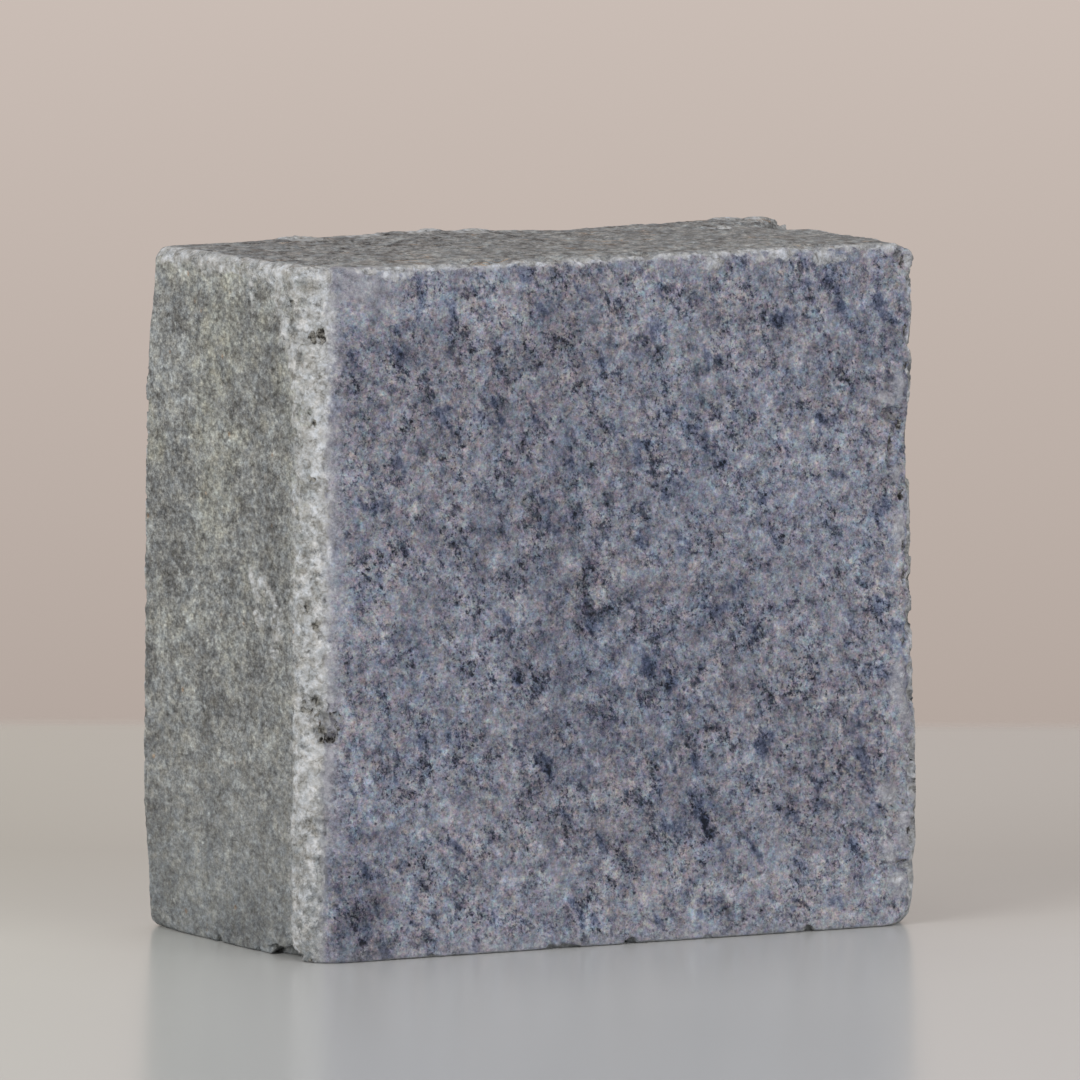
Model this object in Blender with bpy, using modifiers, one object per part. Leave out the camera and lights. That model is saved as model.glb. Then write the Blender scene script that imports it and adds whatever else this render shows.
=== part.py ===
"""Sharpening whetstone: one block of grey, speckled, fine-grained stone with worn, crumbled edges.

The stone is a single solid. It stands on its narrow side, with one large honing face towards -Y and
the other towards +Y. The six faces are sawn flat but not quite square to each other, the edges are
rubbed round, and small pieces have broken out along them.

Metres, +Z up. The origin is at the middle of the bounding box's base.
"""

import math
import random

import bmesh
import bpy
from mathutils import Euler, Matrix, Vector, noise

MM = 0.001

# Driving dimensions, in millimetres. Each distance runs from the block's upright middle axis, at the
# base, to the face; the height is that of the top face over the same axis.
FRONT_OUT = 18.81
BACK_OUT = 18.73
LEFT_OUT = 37.83
RIGHT_OUT = 37.86
HEIGHT = 75.14

# How far each sawn face runs out of square, in millimetres for each millimetre along the other two axes.
FRONT_RUNOUT = (0.0258, 0.0098)  # +Y for each mm of X, and of Z
BACK_RUNOUT = (-0.0269, -0.0110)
LEFT_RUNOUT = (-0.0283, 0.0021)  # +X for each mm of Y, and of Z
RIGHT_RUNOUT = (0.0271, 0.0010)
TOP_RUNOUT = (0.0049, -0.0019)  # +Z for each mm of X, and of Y

# How far the worn round of each edge reaches into its two faces, in millimetres.
WEAR_FRONT_LEFT_EDGE = 3.6
WEAR_FRONT_RIGHT_EDGE = 1.4
WEAR_BACK_EDGES = 1.5
WEAR_TOP_EDGES = 1.3
WEAR_BASE_EDGES = 0.9
WEAR_SEGMENTS = 3

# Broken-out places that are big enough to measure. Each one is an uneven pebble taken out of an edge:
# the two faces that meet there, how deep the pebble's middle lies below each of them (less than 0 is
# outside the stone), how far along the edge it is (X, Y or Z, whichever the edge follows), its half
# sizes along X, Y and Z, and a twist about the vertical in degrees.
CHIPS = (
    # front left edge: a gouge with two lobes, a flake scar, and small losses up the edge
    ("gouge_low", ("front", 0.5), ("left", 1.9), 25.5, (2.0, 1.5, 1.9), 20),
    ("gouge_high", ("front", 2.4), ("left", 0.4), 27.9, (1.3, 1.5, 1.4), 40),
    ("flake_scar", ("front", 2.2), ("left", 0.3), 12.9, (1.3, 1.9, 1.0), 10),
    ("edge_loss_a", ("front", 0.7), ("left", 1.0), 67.4, (1.0, 1.0, 1.9), 40),
    ("edge_loss_b", ("front", 0.9), ("left", 0.6), 58.5, (1.0, 1.0, 1.3), 45),
    ("edge_loss_c", ("front", 1.0), ("left", 0.5), 53.0, (1.0, 1.0, 1.2), 45),
    ("edge_loss_d", ("front", 1.2), ("left", 0.4), 45.0, (1.1, 1.1, 2.2), 45),
    ("edge_loss_e", ("front", 0.6), ("left", 0.9), 37.0, (1.1, 1.1, 1.6), 45),
    # base, at the front left corner and along the front
    ("undercut", ("left", 0.2), ("base", -0.4), -12.6, (1.9, 4.4, 2.1), -8),
    ("base_notch", ("front", 0.2), ("base", -0.1), 1.76, (0.9, 1.6, 1.1), 0),
    ("base_nick", ("front", 0.1), ("base", -0.3), -6.85, (2.8, 1.2, 1.0), 2),
    # front right edge: a recess over the middle, a notch, a flaked patch low down
    ("recess", ("front", 0.5), ("right", -0.2), 53.5, (1.6, 1.9, 6.6), 15),
    ("notch", ("front", 0.1), ("right", 3.0), 56.5, (1.9, 1.1, 0.9), 15),
    ("crack_pit", ("front", 0.1), ("right", 3.1), 51.6, (0.7, 0.9, 1.5), 15),
    ("flaked_patch", ("front", -0.3), ("right", 2.2), 12.6, (2.1, 1.3, 4.0), 10),
    ("side_groove", ("front", 0.1), ("right", 0.9), 6.6, (1.8, 1.3, 0.6), 20),
    # front right corners
    ("base_corner", ("front", 0.2), ("base", -0.5), 38.4, (2.7, 2.5, 2.8), 0),
    ("top_corner", ("front", 0.2), ("top", -0.9), 38.6, (2.6, 2.5, 2.6), 0),
    ("corner_pit", ("front", 0.0), ("top", 1.4), 35.1, (0.8, 1.1, 1.1), 0),
    # top: shallow scallops along the front lip and a ledge at the back right corner
    ("lip_scallop_a", ("front", 0.9), ("top", -0.5), -16.2, (4.8, 4.2, 1.2), 3),
    ("lip_scallop_b", ("front", 1.2), ("top", -0.5), -7.4, (2.8, 4.4, 1.2), -4),
    ("lip_scallop_c", ("front", 0.7), ("top", -0.4), 3.6, (2.6, 3.0, 1.1), 2),
    ("lip_scallop_d", ("front", 0.5), ("top", -0.4), 24.6, (4.2, 2.6, 1.1), 5),
    ("ledge", ("right", 0.3), ("top", -0.6), 12.6, (3.2, 3.4, 1.9), 12),
    # back
    ("back_loss_a", ("back", 0.6), ("right", 0.4), 33.0, (1.8, 1.9, 3.8), 40),
    ("back_loss_b", ("back", 0.5), ("left", 0.5), 58.0, (1.9, 2.0, 3.2), -40),
    ("back_lip_a", ("back", 0.3), ("top", -0.3), -16.0, (5.2, 2.2, 1.5), 0),
    ("back_lip_b", ("back", 0.4), ("top", -0.4), 11.0, (3.6, 2.0, 1.6), 0),
    ("back_base", ("back", 0.1), ("base", -0.3), -22.0, (4.4, 1.9, 1.5), 0),
)

# Small losses strewn along every edge.
SMALL_LOSSES_PER_EDGE = 5
SMALL_LOSS_SIZES = (0.7, 1.5)  # half size across the edge
SMALL_LOSS_STRETCH = (1.0, 2.6)  # half size along the edge, over the half size across
SMALL_LOSS_DEPTH = 0.55  # share of the half size that bites into the worn round
SEED = 4127

STONE_COLOUR = (0.185, 0.190, 0.215, 1.0)
STONE_ROUGHNESS = 0.78


def clear_scene():
    for obj in list(bpy.data.objects):
        bpy.data.objects.remove(obj, do_unlink=True)
    for mesh in list(bpy.data.meshes):
        bpy.data.meshes.remove(mesh)


def new_collection(name):
    collection = bpy.data.collections.new(name)
    bpy.context.scene.collection.children.link(collection)
    return collection


def new_object(name, bm, collection):
    mesh = bpy.data.meshes.new(name)
    bm.to_mesh(mesh)
    bm.free()
    obj = bpy.data.objects.new(name, mesh)
    collection.objects.link(obj)
    return obj


def stone_material():
    material = bpy.data.materials.new("grey_speckled_stone")
    material.use_nodes = True
    shader = material.node_tree.nodes["Principled BSDF"]
    shader.inputs["Base Color"].default_value = STONE_COLOUR
    shader.inputs["Roughness"].default_value = STONE_ROUGHNESS
    shader.inputs["Metallic"].default_value = 0.0
    material.diffuse_color = STONE_COLOUR
    return material


def sawn_planes():
    """Name to (point on the face, outward normal), in metres."""
    fx, fz = FRONT_RUNOUT
    bx, bz = BACK_RUNOUT
    ly, lz = LEFT_RUNOUT
    ry, rz = RIGHT_RUNOUT
    tx, ty = TOP_RUNOUT
    return {
        "front": (Vector((0, -FRONT_OUT, 0)) * MM, Vector((fx, -1, fz)).normalized()),
        "back": (Vector((0, BACK_OUT, 0)) * MM, Vector((-bx, 1, -bz)).normalized()),
        "left": (Vector((-LEFT_OUT, 0, 0)) * MM, Vector((-1, ly, lz)).normalized()),
        "right": (Vector((RIGHT_OUT, 0, 0)) * MM, Vector((1, -ry, -rz)).normalized()),
        "top": (Vector((0, 0, HEIGHT)) * MM, Vector((-tx, -ty, 1)).normalized()),
        "base": (Vector((0, 0, 0)), Vector((0, 0, -1))),
    }


def side_of(face, planes):
    return max(planes, key=lambda name: face.normal.dot(planes[name][1]))


def wear_of(first, second):
    sides = {first, second}
    if sides == {"front", "left"}:
        return WEAR_FRONT_LEFT_EDGE
    if sides == {"front", "right"}:
        return WEAR_FRONT_RIGHT_EDGE
    if "base" in sides:
        return WEAR_BASE_EDGES
    if "top" in sides:
        return WEAR_TOP_EDGES
    return WEAR_BACK_EDGES


def sawn_block():
    """A cube trimmed by the six sawn planes, each edge weighted by how far it is worn."""
    planes = sawn_planes()
    bm = bmesh.new()
    bmesh.ops.create_cube(bm, size=4 * HEIGHT * MM)
    for point, normal in planes.values():
        cut = bmesh.ops.bisect_plane(
            bm,
            geom=bm.verts[:] + bm.edges[:] + bm.faces[:],
            plane_co=point,
            plane_no=normal,
            clear_outer=True,
        )
        rim = [e for e in cut["geom_cut"] if isinstance(e, bmesh.types.BMEdge)]
        bmesh.ops.contextual_create(bm, geom=rim)
    bmesh.ops.recalc_face_normals(bm, faces=bm.faces[:])
    bm.normal_update()
    weight = bm.edges.layers.float.new("bevel_weight_edge")
    ends = []
    for edge in bm.edges:
        first, second = (side_of(face, planes) for face in edge.link_faces)
        wear = wear_of(first, second)
        edge[weight] = wear / WEAR_FRONT_LEFT_EDGE
        inward = -(planes[first][1] + planes[second][1]).normalized()
        ends.append((edge.verts[0].co.copy(), edge.verts[1].co.copy(), inward, wear))
    ends.sort(key=lambda e: tuple(round(v, 6) for v in (*e[0], *e[1])))
    return bm, ends


def rough_pebble(half_sizes, seed, detail):
    """An uneven pebble, the shape of the stone that breaks out of an edge."""
    bm = bmesh.new()
    bmesh.ops.create_icosphere(bm, subdivisions=detail, radius=1.0)
    shift = Vector((seed * 3.17, seed * 1.73, seed * 0.61))
    for vert in bm.verts:
        vert.co *= 1.0 + 0.34 * noise.noise(vert.co * 1.9 + shift)
    bmesh.ops.scale(bm, vec=Vector(half_sizes) * MM, verts=bm.verts[:])
    return bm


def cutter(name, bm, matrix, stone, collection):
    obj = new_object(name, bm, collection)
    obj.data.transform(matrix)
    obj.parent = stone
    obj.hide_render = True
    obj.display_type = "WIRE"
    cut = stone.modifiers.new("cut " + name, "BOOLEAN")
    cut.operation = "DIFFERENCE"
    cut.solver = "EXACT"
    cut.object = obj


def edge_spot(planes, first, second, along):
    """The point at the given depths below two faces that meet, and at the given place along their edge."""
    (point_a, normal_a), (point_b, normal_b) = planes[first[0]], planes[second[0]]
    run = normal_a.cross(normal_b)
    axis = max(range(3), key=lambda i: abs(run[i]))
    unit = Vector([1.0 if i == axis else 0.0 for i in range(3)])
    rows = Matrix((normal_a, normal_b, unit))
    values = Vector(
        (
            normal_a.dot(point_a) - first[1] * MM,
            normal_b.dot(point_b) - second[1] * MM,
            along * MM,
        )
    )
    return rows.inverted() @ values


def measured_chips(stone, collection):
    planes = sawn_planes()
    for index, (name, first, second, along, half_sizes, twist) in enumerate(CHIPS):
        bm = rough_pebble(half_sizes, index + 1, 2)
        place = Matrix.Translation(edge_spot(planes, first, second, along))
        turn = Matrix.Rotation(math.radians(twist), 4, "Z")
        cutter("chip_" + name, bm, place @ turn, stone, collection)


def strewn_losses(stone, ends, collection):
    draw = random.Random(SEED)
    for number, (start, end, inward, wear) in enumerate(ends):
        along = (end - start).normalized()
        across = inward.cross(along).normalized()
        frame = Matrix((across, inward, along)).transposed().to_4x4()
        for step in range(SMALL_LOSSES_PER_EDGE):
            share = (step + draw.uniform(0.15, 0.85)) / SMALL_LOSSES_PER_EDGE
            size = draw.uniform(*SMALL_LOSS_SIZES)
            length = size * draw.uniform(*SMALL_LOSS_STRETCH)
            # the worn round lies this far in from the sharp edge that it replaced
            worn = wear * MM * (math.sqrt(2) - 1) * 0.95
            depth = worn + size * MM * (SMALL_LOSS_DEPTH - 1)
            spot = start.lerp(end, 0.06 + 0.88 * share) + inward * depth
            tilt = Euler((0, 0, draw.uniform(-0.4, 0.4))).to_matrix().to_4x4()
            bm = rough_pebble((size, size, length), 40 + 9 * number + step, 2)
            place = Matrix.Translation(spot) @ frame @ tilt
            cutter(f"loss_{number:02d}_{step}", bm, place, stone, collection)


def stand_on_origin(stone):
    """Moves the stone so that the middle of its bounding box's base is at the origin."""
    bpy.context.view_layer.update()
    evaluated = stone.evaluated_get(bpy.context.evaluated_depsgraph_get())
    corners = [vert.co for vert in evaluated.data.vertices]
    low = Vector(min(c[i] for c in corners) for i in range(3))
    high = Vector(max(c[i] for c in corners) for i in range(3))
    stone.location = (-(low.x + high.x) / 2, -(low.y + high.y) / 2, -low.z)


def main():
    clear_scene()
    parts = new_collection("sharpening_whetstone")
    cutters = new_collection("cutters")
    bm, ends = sawn_block()
    stone = new_object("stone_block", bm, parts)
    stone.data.materials.append(stone_material())
    wear = stone.modifiers.new("worn edges", "BEVEL")
    wear.width = WEAR_FRONT_LEFT_EDGE * MM
    wear.segments = WEAR_SEGMENTS
    wear.limit_method = "WEIGHT"
    measured_chips(stone, cutters)
    strewn_losses(stone, ends, cutters)
    stand_on_origin(stone)


main()
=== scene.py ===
"""Sharpening whetstone: the look of the stone block, its table and its light.

The visual stone is one closed mesh. It starts as a fine grid on the six sawn planes, its edges are
rubbed round, pieces are broken out of them, and the crumbs that are left stand up along the edges.
Lengths are in millimetres until the mesh is made, and metres after that. +Z is up.
"""

import math

import bpy
import numpy as np
from mathutils import Matrix, Vector


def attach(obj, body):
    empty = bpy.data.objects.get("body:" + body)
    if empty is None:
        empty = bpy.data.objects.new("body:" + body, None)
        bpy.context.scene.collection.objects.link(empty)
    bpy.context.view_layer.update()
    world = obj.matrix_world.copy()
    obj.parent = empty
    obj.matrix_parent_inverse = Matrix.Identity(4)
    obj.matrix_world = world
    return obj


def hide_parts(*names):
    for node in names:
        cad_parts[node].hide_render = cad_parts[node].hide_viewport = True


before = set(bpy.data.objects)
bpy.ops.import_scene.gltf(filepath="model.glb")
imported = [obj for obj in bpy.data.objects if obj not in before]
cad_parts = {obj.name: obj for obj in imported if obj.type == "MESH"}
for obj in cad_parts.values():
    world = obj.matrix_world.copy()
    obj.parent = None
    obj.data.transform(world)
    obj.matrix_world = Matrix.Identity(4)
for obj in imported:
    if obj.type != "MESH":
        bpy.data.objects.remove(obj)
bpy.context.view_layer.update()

MM = 0.001

# ----------------------------------------------------------------------------------------------
# The block, as the CAD part has it
# ----------------------------------------------------------------------------------------------

FRONT_OUT, BACK_OUT, LEFT_OUT, RIGHT_OUT, HEIGHT = 18.81, 18.73, 37.83, 37.86, 75.14
FRONT_RUNOUT = (0.0258, 0.0098)
BACK_RUNOUT = (-0.0269, -0.0110)
LEFT_RUNOUT = (-0.0283, 0.0021)
RIGHT_RUNOUT = (0.0271, 0.0010)
TOP_RUNOUT = (0.0049, -0.0019)


def unit(v):
    v = np.asarray(v, float)
    return v / np.linalg.norm(v)


PLANES = {
    "front": (np.array((0, -FRONT_OUT, 0.0)), unit((FRONT_RUNOUT[0], -1, FRONT_RUNOUT[1]))),
    "back": (np.array((0, BACK_OUT, 0.0)), unit((-BACK_RUNOUT[0], 1, -BACK_RUNOUT[1]))),
    "left": (np.array((-LEFT_OUT, 0, 0.0)), unit((-1, LEFT_RUNOUT[0], LEFT_RUNOUT[1]))),
    "right": (np.array((RIGHT_OUT, 0, 0.0)), unit((1, -RIGHT_RUNOUT[0], -RIGHT_RUNOUT[1]))),
    "top": (np.array((0, 0, HEIGHT)), unit((-TOP_RUNOUT[0], -TOP_RUNOUT[1], 1))),
    "base": (np.zeros(3), np.array((0, 0, -1.0))),
}


def meet(*names):
    rows = np.array([PLANES[n][1] for n in names])
    return np.linalg.solve(rows, np.array([PLANES[n][0] @ PLANES[n][1] for n in names]))


def depth(points, name):
    """How far each point lies inside one sawn plane."""
    place, normal = PLANES[name]
    return (place - points) @ normal


def step(low, high, x):
    t = np.clip((x - low) / (high - low), 0, 1)
    return t * t * (3 - 2 * t)


def bump(x, middle, half):
    t = np.clip(1 - ((x - middle) / half) ** 2, 0, 1)
    return t * t


# ----------------------------------------------------------------------------------------------
# Seeded noise
# ----------------------------------------------------------------------------------------------

_draw = np.random.RandomState(77)
ARROWS = _draw.normal(size=(256, 3))
ARROWS /= np.linalg.norm(ARROWS, axis=1)[:, None]


def hashed(cell, seed):
    with np.errstate(over="ignore"):
        c = cell.astype(np.int64).astype(np.uint32)
        h = c[..., 0] * np.uint32(374761393) + c[..., 1] * np.uint32(668265263)
        h += c[..., 2] * np.uint32(2246822519) + np.uint32(seed * 3266489917 % (1 << 32))
        h ^= h >> np.uint32(15)
        h *= np.uint32(2246822519)
        h ^= h >> np.uint32(13)
        h *= np.uint32(3266489917)
        h ^= h >> np.uint32(16)
    return h


def soft_noise(points, size, seed):
    """Smooth gradient noise, about -1 to 1, with features about `size` across."""
    q = points / size + seed * 7.31
    cell = np.floor(q)
    f = q - cell
    u = f * f * f * (f * (f * 6 - 15) + 10)
    total = np.zeros(len(q))
    for corner in np.ndindex(2, 2, 2):
        c = np.array(corner)
        arrow = ARROWS[hashed(cell + c, seed) & np.uint32(255)]
        weight = np.prod(np.where(c == 1, u, 1 - u), axis=1)
        total += weight * ((f - c) * arrow).sum(1)
    return total * 1.7


def layered(points, size, seed, octaves=4, gain=0.55):
    total = np.zeros(len(points))
    reach = 0.0
    for k in range(octaves):
        total += gain**k * soft_noise(points, size / 2**k, seed + 13 * k)
        reach += gain ** (2 * k)
    return total / math.sqrt(reach)


def cells(points, size, seed):
    """Distances to the nearest and second nearest seeded point, in cells, and a number for that cell."""
    q = points / size + seed * 3.77
    home = np.floor(q)
    first = np.full(len(q), 9.0)
    second = np.full(len(q), 9.0)
    mark = np.zeros(len(q))
    for shift in np.ndindex(3, 3, 3):
        cell = home + np.array(shift) - 1
        h = hashed(cell, seed)
        spot = np.stack(
            [(h & np.uint32(1023)), (h >> np.uint32(10)) & np.uint32(1023), h >> np.uint32(22)], 1
        ) / 1023.0
        away = np.linalg.norm(cell + spot - q, axis=1)
        closer = away < first
        second = np.where(closer, first, np.minimum(second, away))
        mark = np.where(closer, (h >> np.uint32(7)) % np.uint32(997) / 996.0, mark)
        first = np.minimum(first, away)
    return first, second, mark


# ----------------------------------------------------------------------------------------------
# The sawn block as a grid, with its edges rubbed round
# ----------------------------------------------------------------------------------------------


def rulings(total, low, low_step, high, high_step, middle_step):
    first = np.linspace(0, low, max(2, round(low / low_step) + 1))
    last = np.linspace(total - high, total, max(2, round(high / high_step) + 1))
    count = max(2, round((total - high - low) / middle_step) + 1)
    return np.concatenate([first, np.linspace(low, total - high, count)[1:-1], last]) / total


def block_grid():
    """Points of a closed grid on the sharp block, and its quads. The points lie trilinearly between the block's eight
    corners.
    """
    us = rulings(76.5, 6.0, 0.2, 3.6, 0.2, 0.33)
    vs = rulings(38.5, 5.0, 0.2, 2.4, 0.24, 0.36)
    ws = rulings(75.1, 3.0, 0.23, 4.0, 0.2, 0.31)
    shape = (len(us), len(vs), len(ws))
    on = np.zeros(shape, bool)
    on[0], on[-1], on[:, 0], on[:, -1], on[:, :, 0], on[:, :, -1] = (True,) * 6
    index = np.full(shape, -1, np.int64)
    index[on] = np.arange(on.sum())
    i, j, k = np.nonzero(on)
    u, v, w = us[i][:, None], vs[j][:, None], ws[k][:, None]
    points = np.zeros((len(i), 3))
    for a, x_side in ((1 - u, "left"), (u, "right")):
        for b, y_side in ((1 - v, "front"), (v, "back")):
            for c, z_side in ((1 - w, "base"), (w, "top")):
                points += a * b * c * meet(x_side, y_side, z_side)

    def sheet(grid, turned):
        quads = np.stack([grid[:-1, :-1], grid[:-1, 1:], grid[1:, 1:], grid[1:, :-1]], -1)
        quads = quads.reshape(-1, 4)
        return quads[:, ::-1] if turned else quads

    quads = np.concatenate(
        [
            sheet(index[0], False),
            sheet(index[-1], True),
            sheet(index[:, 0], True),
            sheet(index[:, -1], False),
            sheet(index[:, :, 0], False),
            sheet(index[:, :, -1], True),
        ]
    )
    return points, quads


def point_normals(points, quads):
    a, b, c, d = (points[quads[:, n]] for n in range(4))
    face = np.cross(c - a, d - b)
    normal = np.zeros_like(points)
    for n in range(4):
        for axis in range(3):
            normal[:, axis] += np.bincount(quads[:, n], face[:, axis], len(points))
    return normal / np.maximum(np.linalg.norm(normal, axis=1), 1e-12)[:, None]


# How far each upright edge is rubbed back, in mm, by height.
ROUND_BY_HEIGHT = {
    ("left", "front"): ((0, 30, 60, 68, 75), (3.3, 3.9, 3.9, 4.4, 5.0)),
    ("right", "front"): (
        (0, 2.7, 5, 7, 9, 14, 22, 27, 31, 38, 42, 47, 53, 58, 62, 64, 66, 73, 75),
        (2.8, 1.6, 1.0, 1.5, 0.7, 0.6, 0.7, 1.4, 0.6, 0.9, 1.2, 1.5, 1.6, 1.4, 0.9, 1.5, 1.3, 0.7, 1.2),
    ),
    ("left", "back"): ((0, 8, 16, 60, 68, 75), (1.8, 1.6, 0.9, 0.8, 1.5, 2.0)),
    ("right", "back"): ((0, 20, 50, 75), (1.5, 1.1, 1.4, 1.8)),
}


def rub_round(points):
    """Rounds the sharp block's edges. Returns the points and each one's depths below the six planes."""
    depths = {name: depth(points, name) for name in PLANES}
    inward = {name: -PLANES[name][1] for name in PLANES}
    z = points[:, 2]
    top_round = 0.75 + 0.35 * layered(points, 7.0, 31, 3)
    top_round += 0.7 * step(-30, -38, points[:, 0]) * step(5, -19, points[:, 1])
    top_round += 0.5 * step(32.5, 37.5, points[:, 0]) * step(-13, -18, points[:, 1])
    top_round += 1.3 * step(-31, -37, points[:, 0]) * step(5, 16, points[:, 1])
    top_round -= 0.5 * step(27, 32, points[:, 0]) * step(8, 14, points[:, 1])
    top_round = np.clip(top_round, 0.25, 3)
    base_round = np.clip(0.5 + 0.25 * layered(points, 6.0, 32, 3), 0.15, 2)
    base_round += 0.9 * step(10, 19, points[:, 1]) * step(-30, -38, points[:, 0])
    base_round += 1.5 * step(33.5, 37.5, points[:, 0]) * step(-13, -18, points[:, 1])
    moved = points.copy()
    lean = np.zeros_like(points)
    for number, ((x_side, y_side), (heights, rounds)) in enumerate(ROUND_BY_HEIGHT.items()):
        r = np.interp(z, heights, rounds) * (1 + 0.18 * layered(points * (0, 0, 1), 5.0, 40 + number, 3))
        r = np.maximum(r, 0.2)
        worn = (x_side, y_side) == ("left", "front")
        power = 1.75 if worn else 1.8
        over = 1.35 if worn else 1.0  # the worn edge rolls further onto the front than onto the end
        qa = np.maximum(1 - depths[x_side] / (r * over), 0)
        qb = np.maximum(1 - depths[y_side] / r, 0)
        norm = np.maximum((qa**power + qb**power) ** (1 / power), 1e-9)
        pull = r * (1 - np.maximum(qa, qb) / norm)
        moved += inward[x_side] * (over * qa * pull)[:, None]
        moved += inward[y_side] * (qb * pull)[:, None]
        reach = np.maximum(r, np.maximum(top_round, base_round) + 0.05)
        lean += inward[x_side] * np.maximum(reach - depths[x_side], 0)[:, None]
        lean += inward[y_side] * np.maximum(reach - depths[y_side], 0)[:, None]
    lean /= np.maximum(np.linalg.norm(lean, axis=1), 1e-9)[:, None]
    side = np.min([depths[n] for n in ("left", "right", "front", "back")], axis=0)
    for name, r in (("top", top_round), ("base", base_round)):
        qh = np.maximum(r - side, 0)
        qz = np.maximum(r - depths[name], 0)
        norm = np.maximum(np.hypot(qh, qz), 1e-9)
        pull = 1 - np.maximum(qh, qz) / norm
        moved += lean * (qh * pull)[:, None] + inward[name] * (qz * pull)[:, None]
    return moved, depths


# ----------------------------------------------------------------------------------------------
# Broken places. Each is an uneven pebble taken out of an edge, as in the CAD part: the two faces, how
# deep its middle lies below each, how far along the edge, half sizes along X, Y and Z, and a twist.
# ----------------------------------------------------------------------------------------------

CHIPS = (
    (("front", 0.4), ("left", 1.3), 25.3, (2.1, 1.6, 1.9), 25),
    (("front", 2.4), ("left", 0.4), 27.6, (1.4, 1.6, 1.5), 40),
    (("front", 2.2), ("left", 0.2), 12.7, (0.9, 1.4, 0.5), 10),
    (("front", 0.7), ("left", 1.0), 67.4, (1.0, 1.0, 1.9), 40),
    (("front", 0.9), ("left", 0.6), 58.5, (1.0, 1.0, 1.3), 45),
    (("front", 1.0), ("left", 0.5), 53.0, (1.0, 1.0, 1.2), 45),
    (("front", 1.2), ("left", 0.4), 45.0, (1.1, 1.1, 2.2), 45),
    (("front", 0.6), ("left", 0.9), 37.0, (1.1, 1.1, 1.6), 45),
    (("left", 0.2), ("base", -0.4), -12.6, (1.9, 4.4, 2.1), -8),
    (("front", 0.2), ("base", -0.1), 1.76, (0.8, 1.4, 0.9), 0),
    (("front", 0.1), ("base", -0.4), -6.85, (2.8, 1.0, 0.9), 2),
    (("front", 0.5), ("right", -0.2), 53.5, (1.6, 1.9, 6.6), 15),
    (("front", 0.1), ("right", 3.0), 56.5, (1.7, 0.9, 0.8), 15),
    (("front", 0.1), ("right", 3.1), 51.6, (0.6, 0.7, 1.5), 15),
    (("front", -0.3), ("right", 2.6), 12.8, (1.5, 1.0, 3.9), 10),
    (("front", 0.1), ("right", 0.9), 6.6, (1.8, 1.1, 0.5), 20),
    (("front", 0.2), ("base", -0.5), 38.4, (2.4, 2.3, 2.4), 0),
    (("front", 0.2), ("top", -0.9), 39.0, (1.6, 1.8, 1.6), 0),
    (("front", 0.0), ("top", 1.4), 35.1, (0.6, 0.8, 1.0), 0),
    (("front", 0.9), ("top", -0.5), -16.2, (4.8, 4.2, 0.9), 3),
    (("front", 1.2), ("top", -0.5), -7.4, (2.8, 4.4, 0.9), -4),
    (("front", 0.7), ("top", -0.4), 3.6, (2.6, 3.0, 0.8), 2),
    (("front", 0.5), ("top", -0.4), 24.6, (4.2, 2.6, 0.8), 5),
    (("right", 0.3), ("top", -0.6), 12.6, (3.2, 3.4, 1.9), 12),
    (("back", 0.6), ("right", 0.4), 33.0, (1.8, 1.9, 3.8), 40),
    (("back", 0.5), ("left", 0.5), 58.0, (1.0, 1.2, 3.2), -40),
    (("back", 0.3), ("top", -0.3), -16.0, (5.2, 2.2, 0.7), 0),
    (("back", 0.4), ("top", -0.4), 11.0, (3.6, 2.0, 1.0), 0),
    (("back", 0.1), ("base", -0.3), -22.0, (4.4, 1.9, 1.5), 0),
    (("front", 0.2), ("left", 2.9), 26.4, (0.8, 0.9, 1.3), 10),
)


def edge_spot(first, second, along):
    (pa, na), (pb, nb) = PLANES[first[0]], PLANES[second[0]]
    axis = int(np.argmax(np.abs(np.cross(na, nb))))
    rows = np.array([na, nb, np.eye(3)[axis]])
    return np.linalg.solve(rows, [na @ pa - first[1], nb @ pb - second[1], along])


def carve(points, middle, half, turn, inward, seed, rough=0.16):
    """Pushes the points inside an uneven pebble down onto its far side."""
    half = np.asarray(half, float)
    near = np.nonzero((np.abs(points - middle) < half.max() * 1.7).all(1))[0]
    if not len(near):
        return
    q = (points[near] - middle) @ turn / half
    r = np.linalg.norm(q, axis=1)
    ray = q / np.maximum(r, 1e-9)[:, None]
    rho = 1 + 0.30 * soft_noise(ray * 1.9, 1.0, seed) + rough * layered(points[near], 1.1, seed + 5, 3)
    inside = r < rho
    near, q, rho = near[inside], q[inside], rho[inside]
    if not len(near):
        return
    m = (inward @ turn) / half
    b = q @ m
    c = (q * q).sum(1) - rho * rho
    away = (-b + np.sqrt(np.maximum(b * b - (m @ m) * c, 0))) / (m @ m)
    points[near] += inward * away[:, None]


def twist(degrees):
    return np.array(Matrix.Rotation(math.radians(degrees), 3, "Z"))


def break_out(points):
    for number, (first, second, along, half, degrees) in enumerate(CHIPS):
        inward = -unit(PLANES[first[0]][1] + PLANES[second[0]][1])
        carve(points, edge_spot(first, second, along), half, twist(degrees), inward, number + 1)


EDGES = (
    # the two faces, where the edge starts and ends along its own axis, and how many small losses it has
    (("front", "right"), 2, 73, 26),
    (("back", "left"), 2, 73, 20),
    (("back", "right"), 2, 73, 22),
    (("front", "top"), -36, 37, 30),
    (("back", "top"), -36, 37, 30),
    (("left", "top"), -18, 18, 16),
    (("right", "top"), -18, 18, 16),
    (("front", "base"), -30, 34, 4),
    (("back", "base"), -36, 37, 12),
    (("left", "base"), -10, 16, 3),
    (("right", "base"), -18, 18, 10),
)


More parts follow.
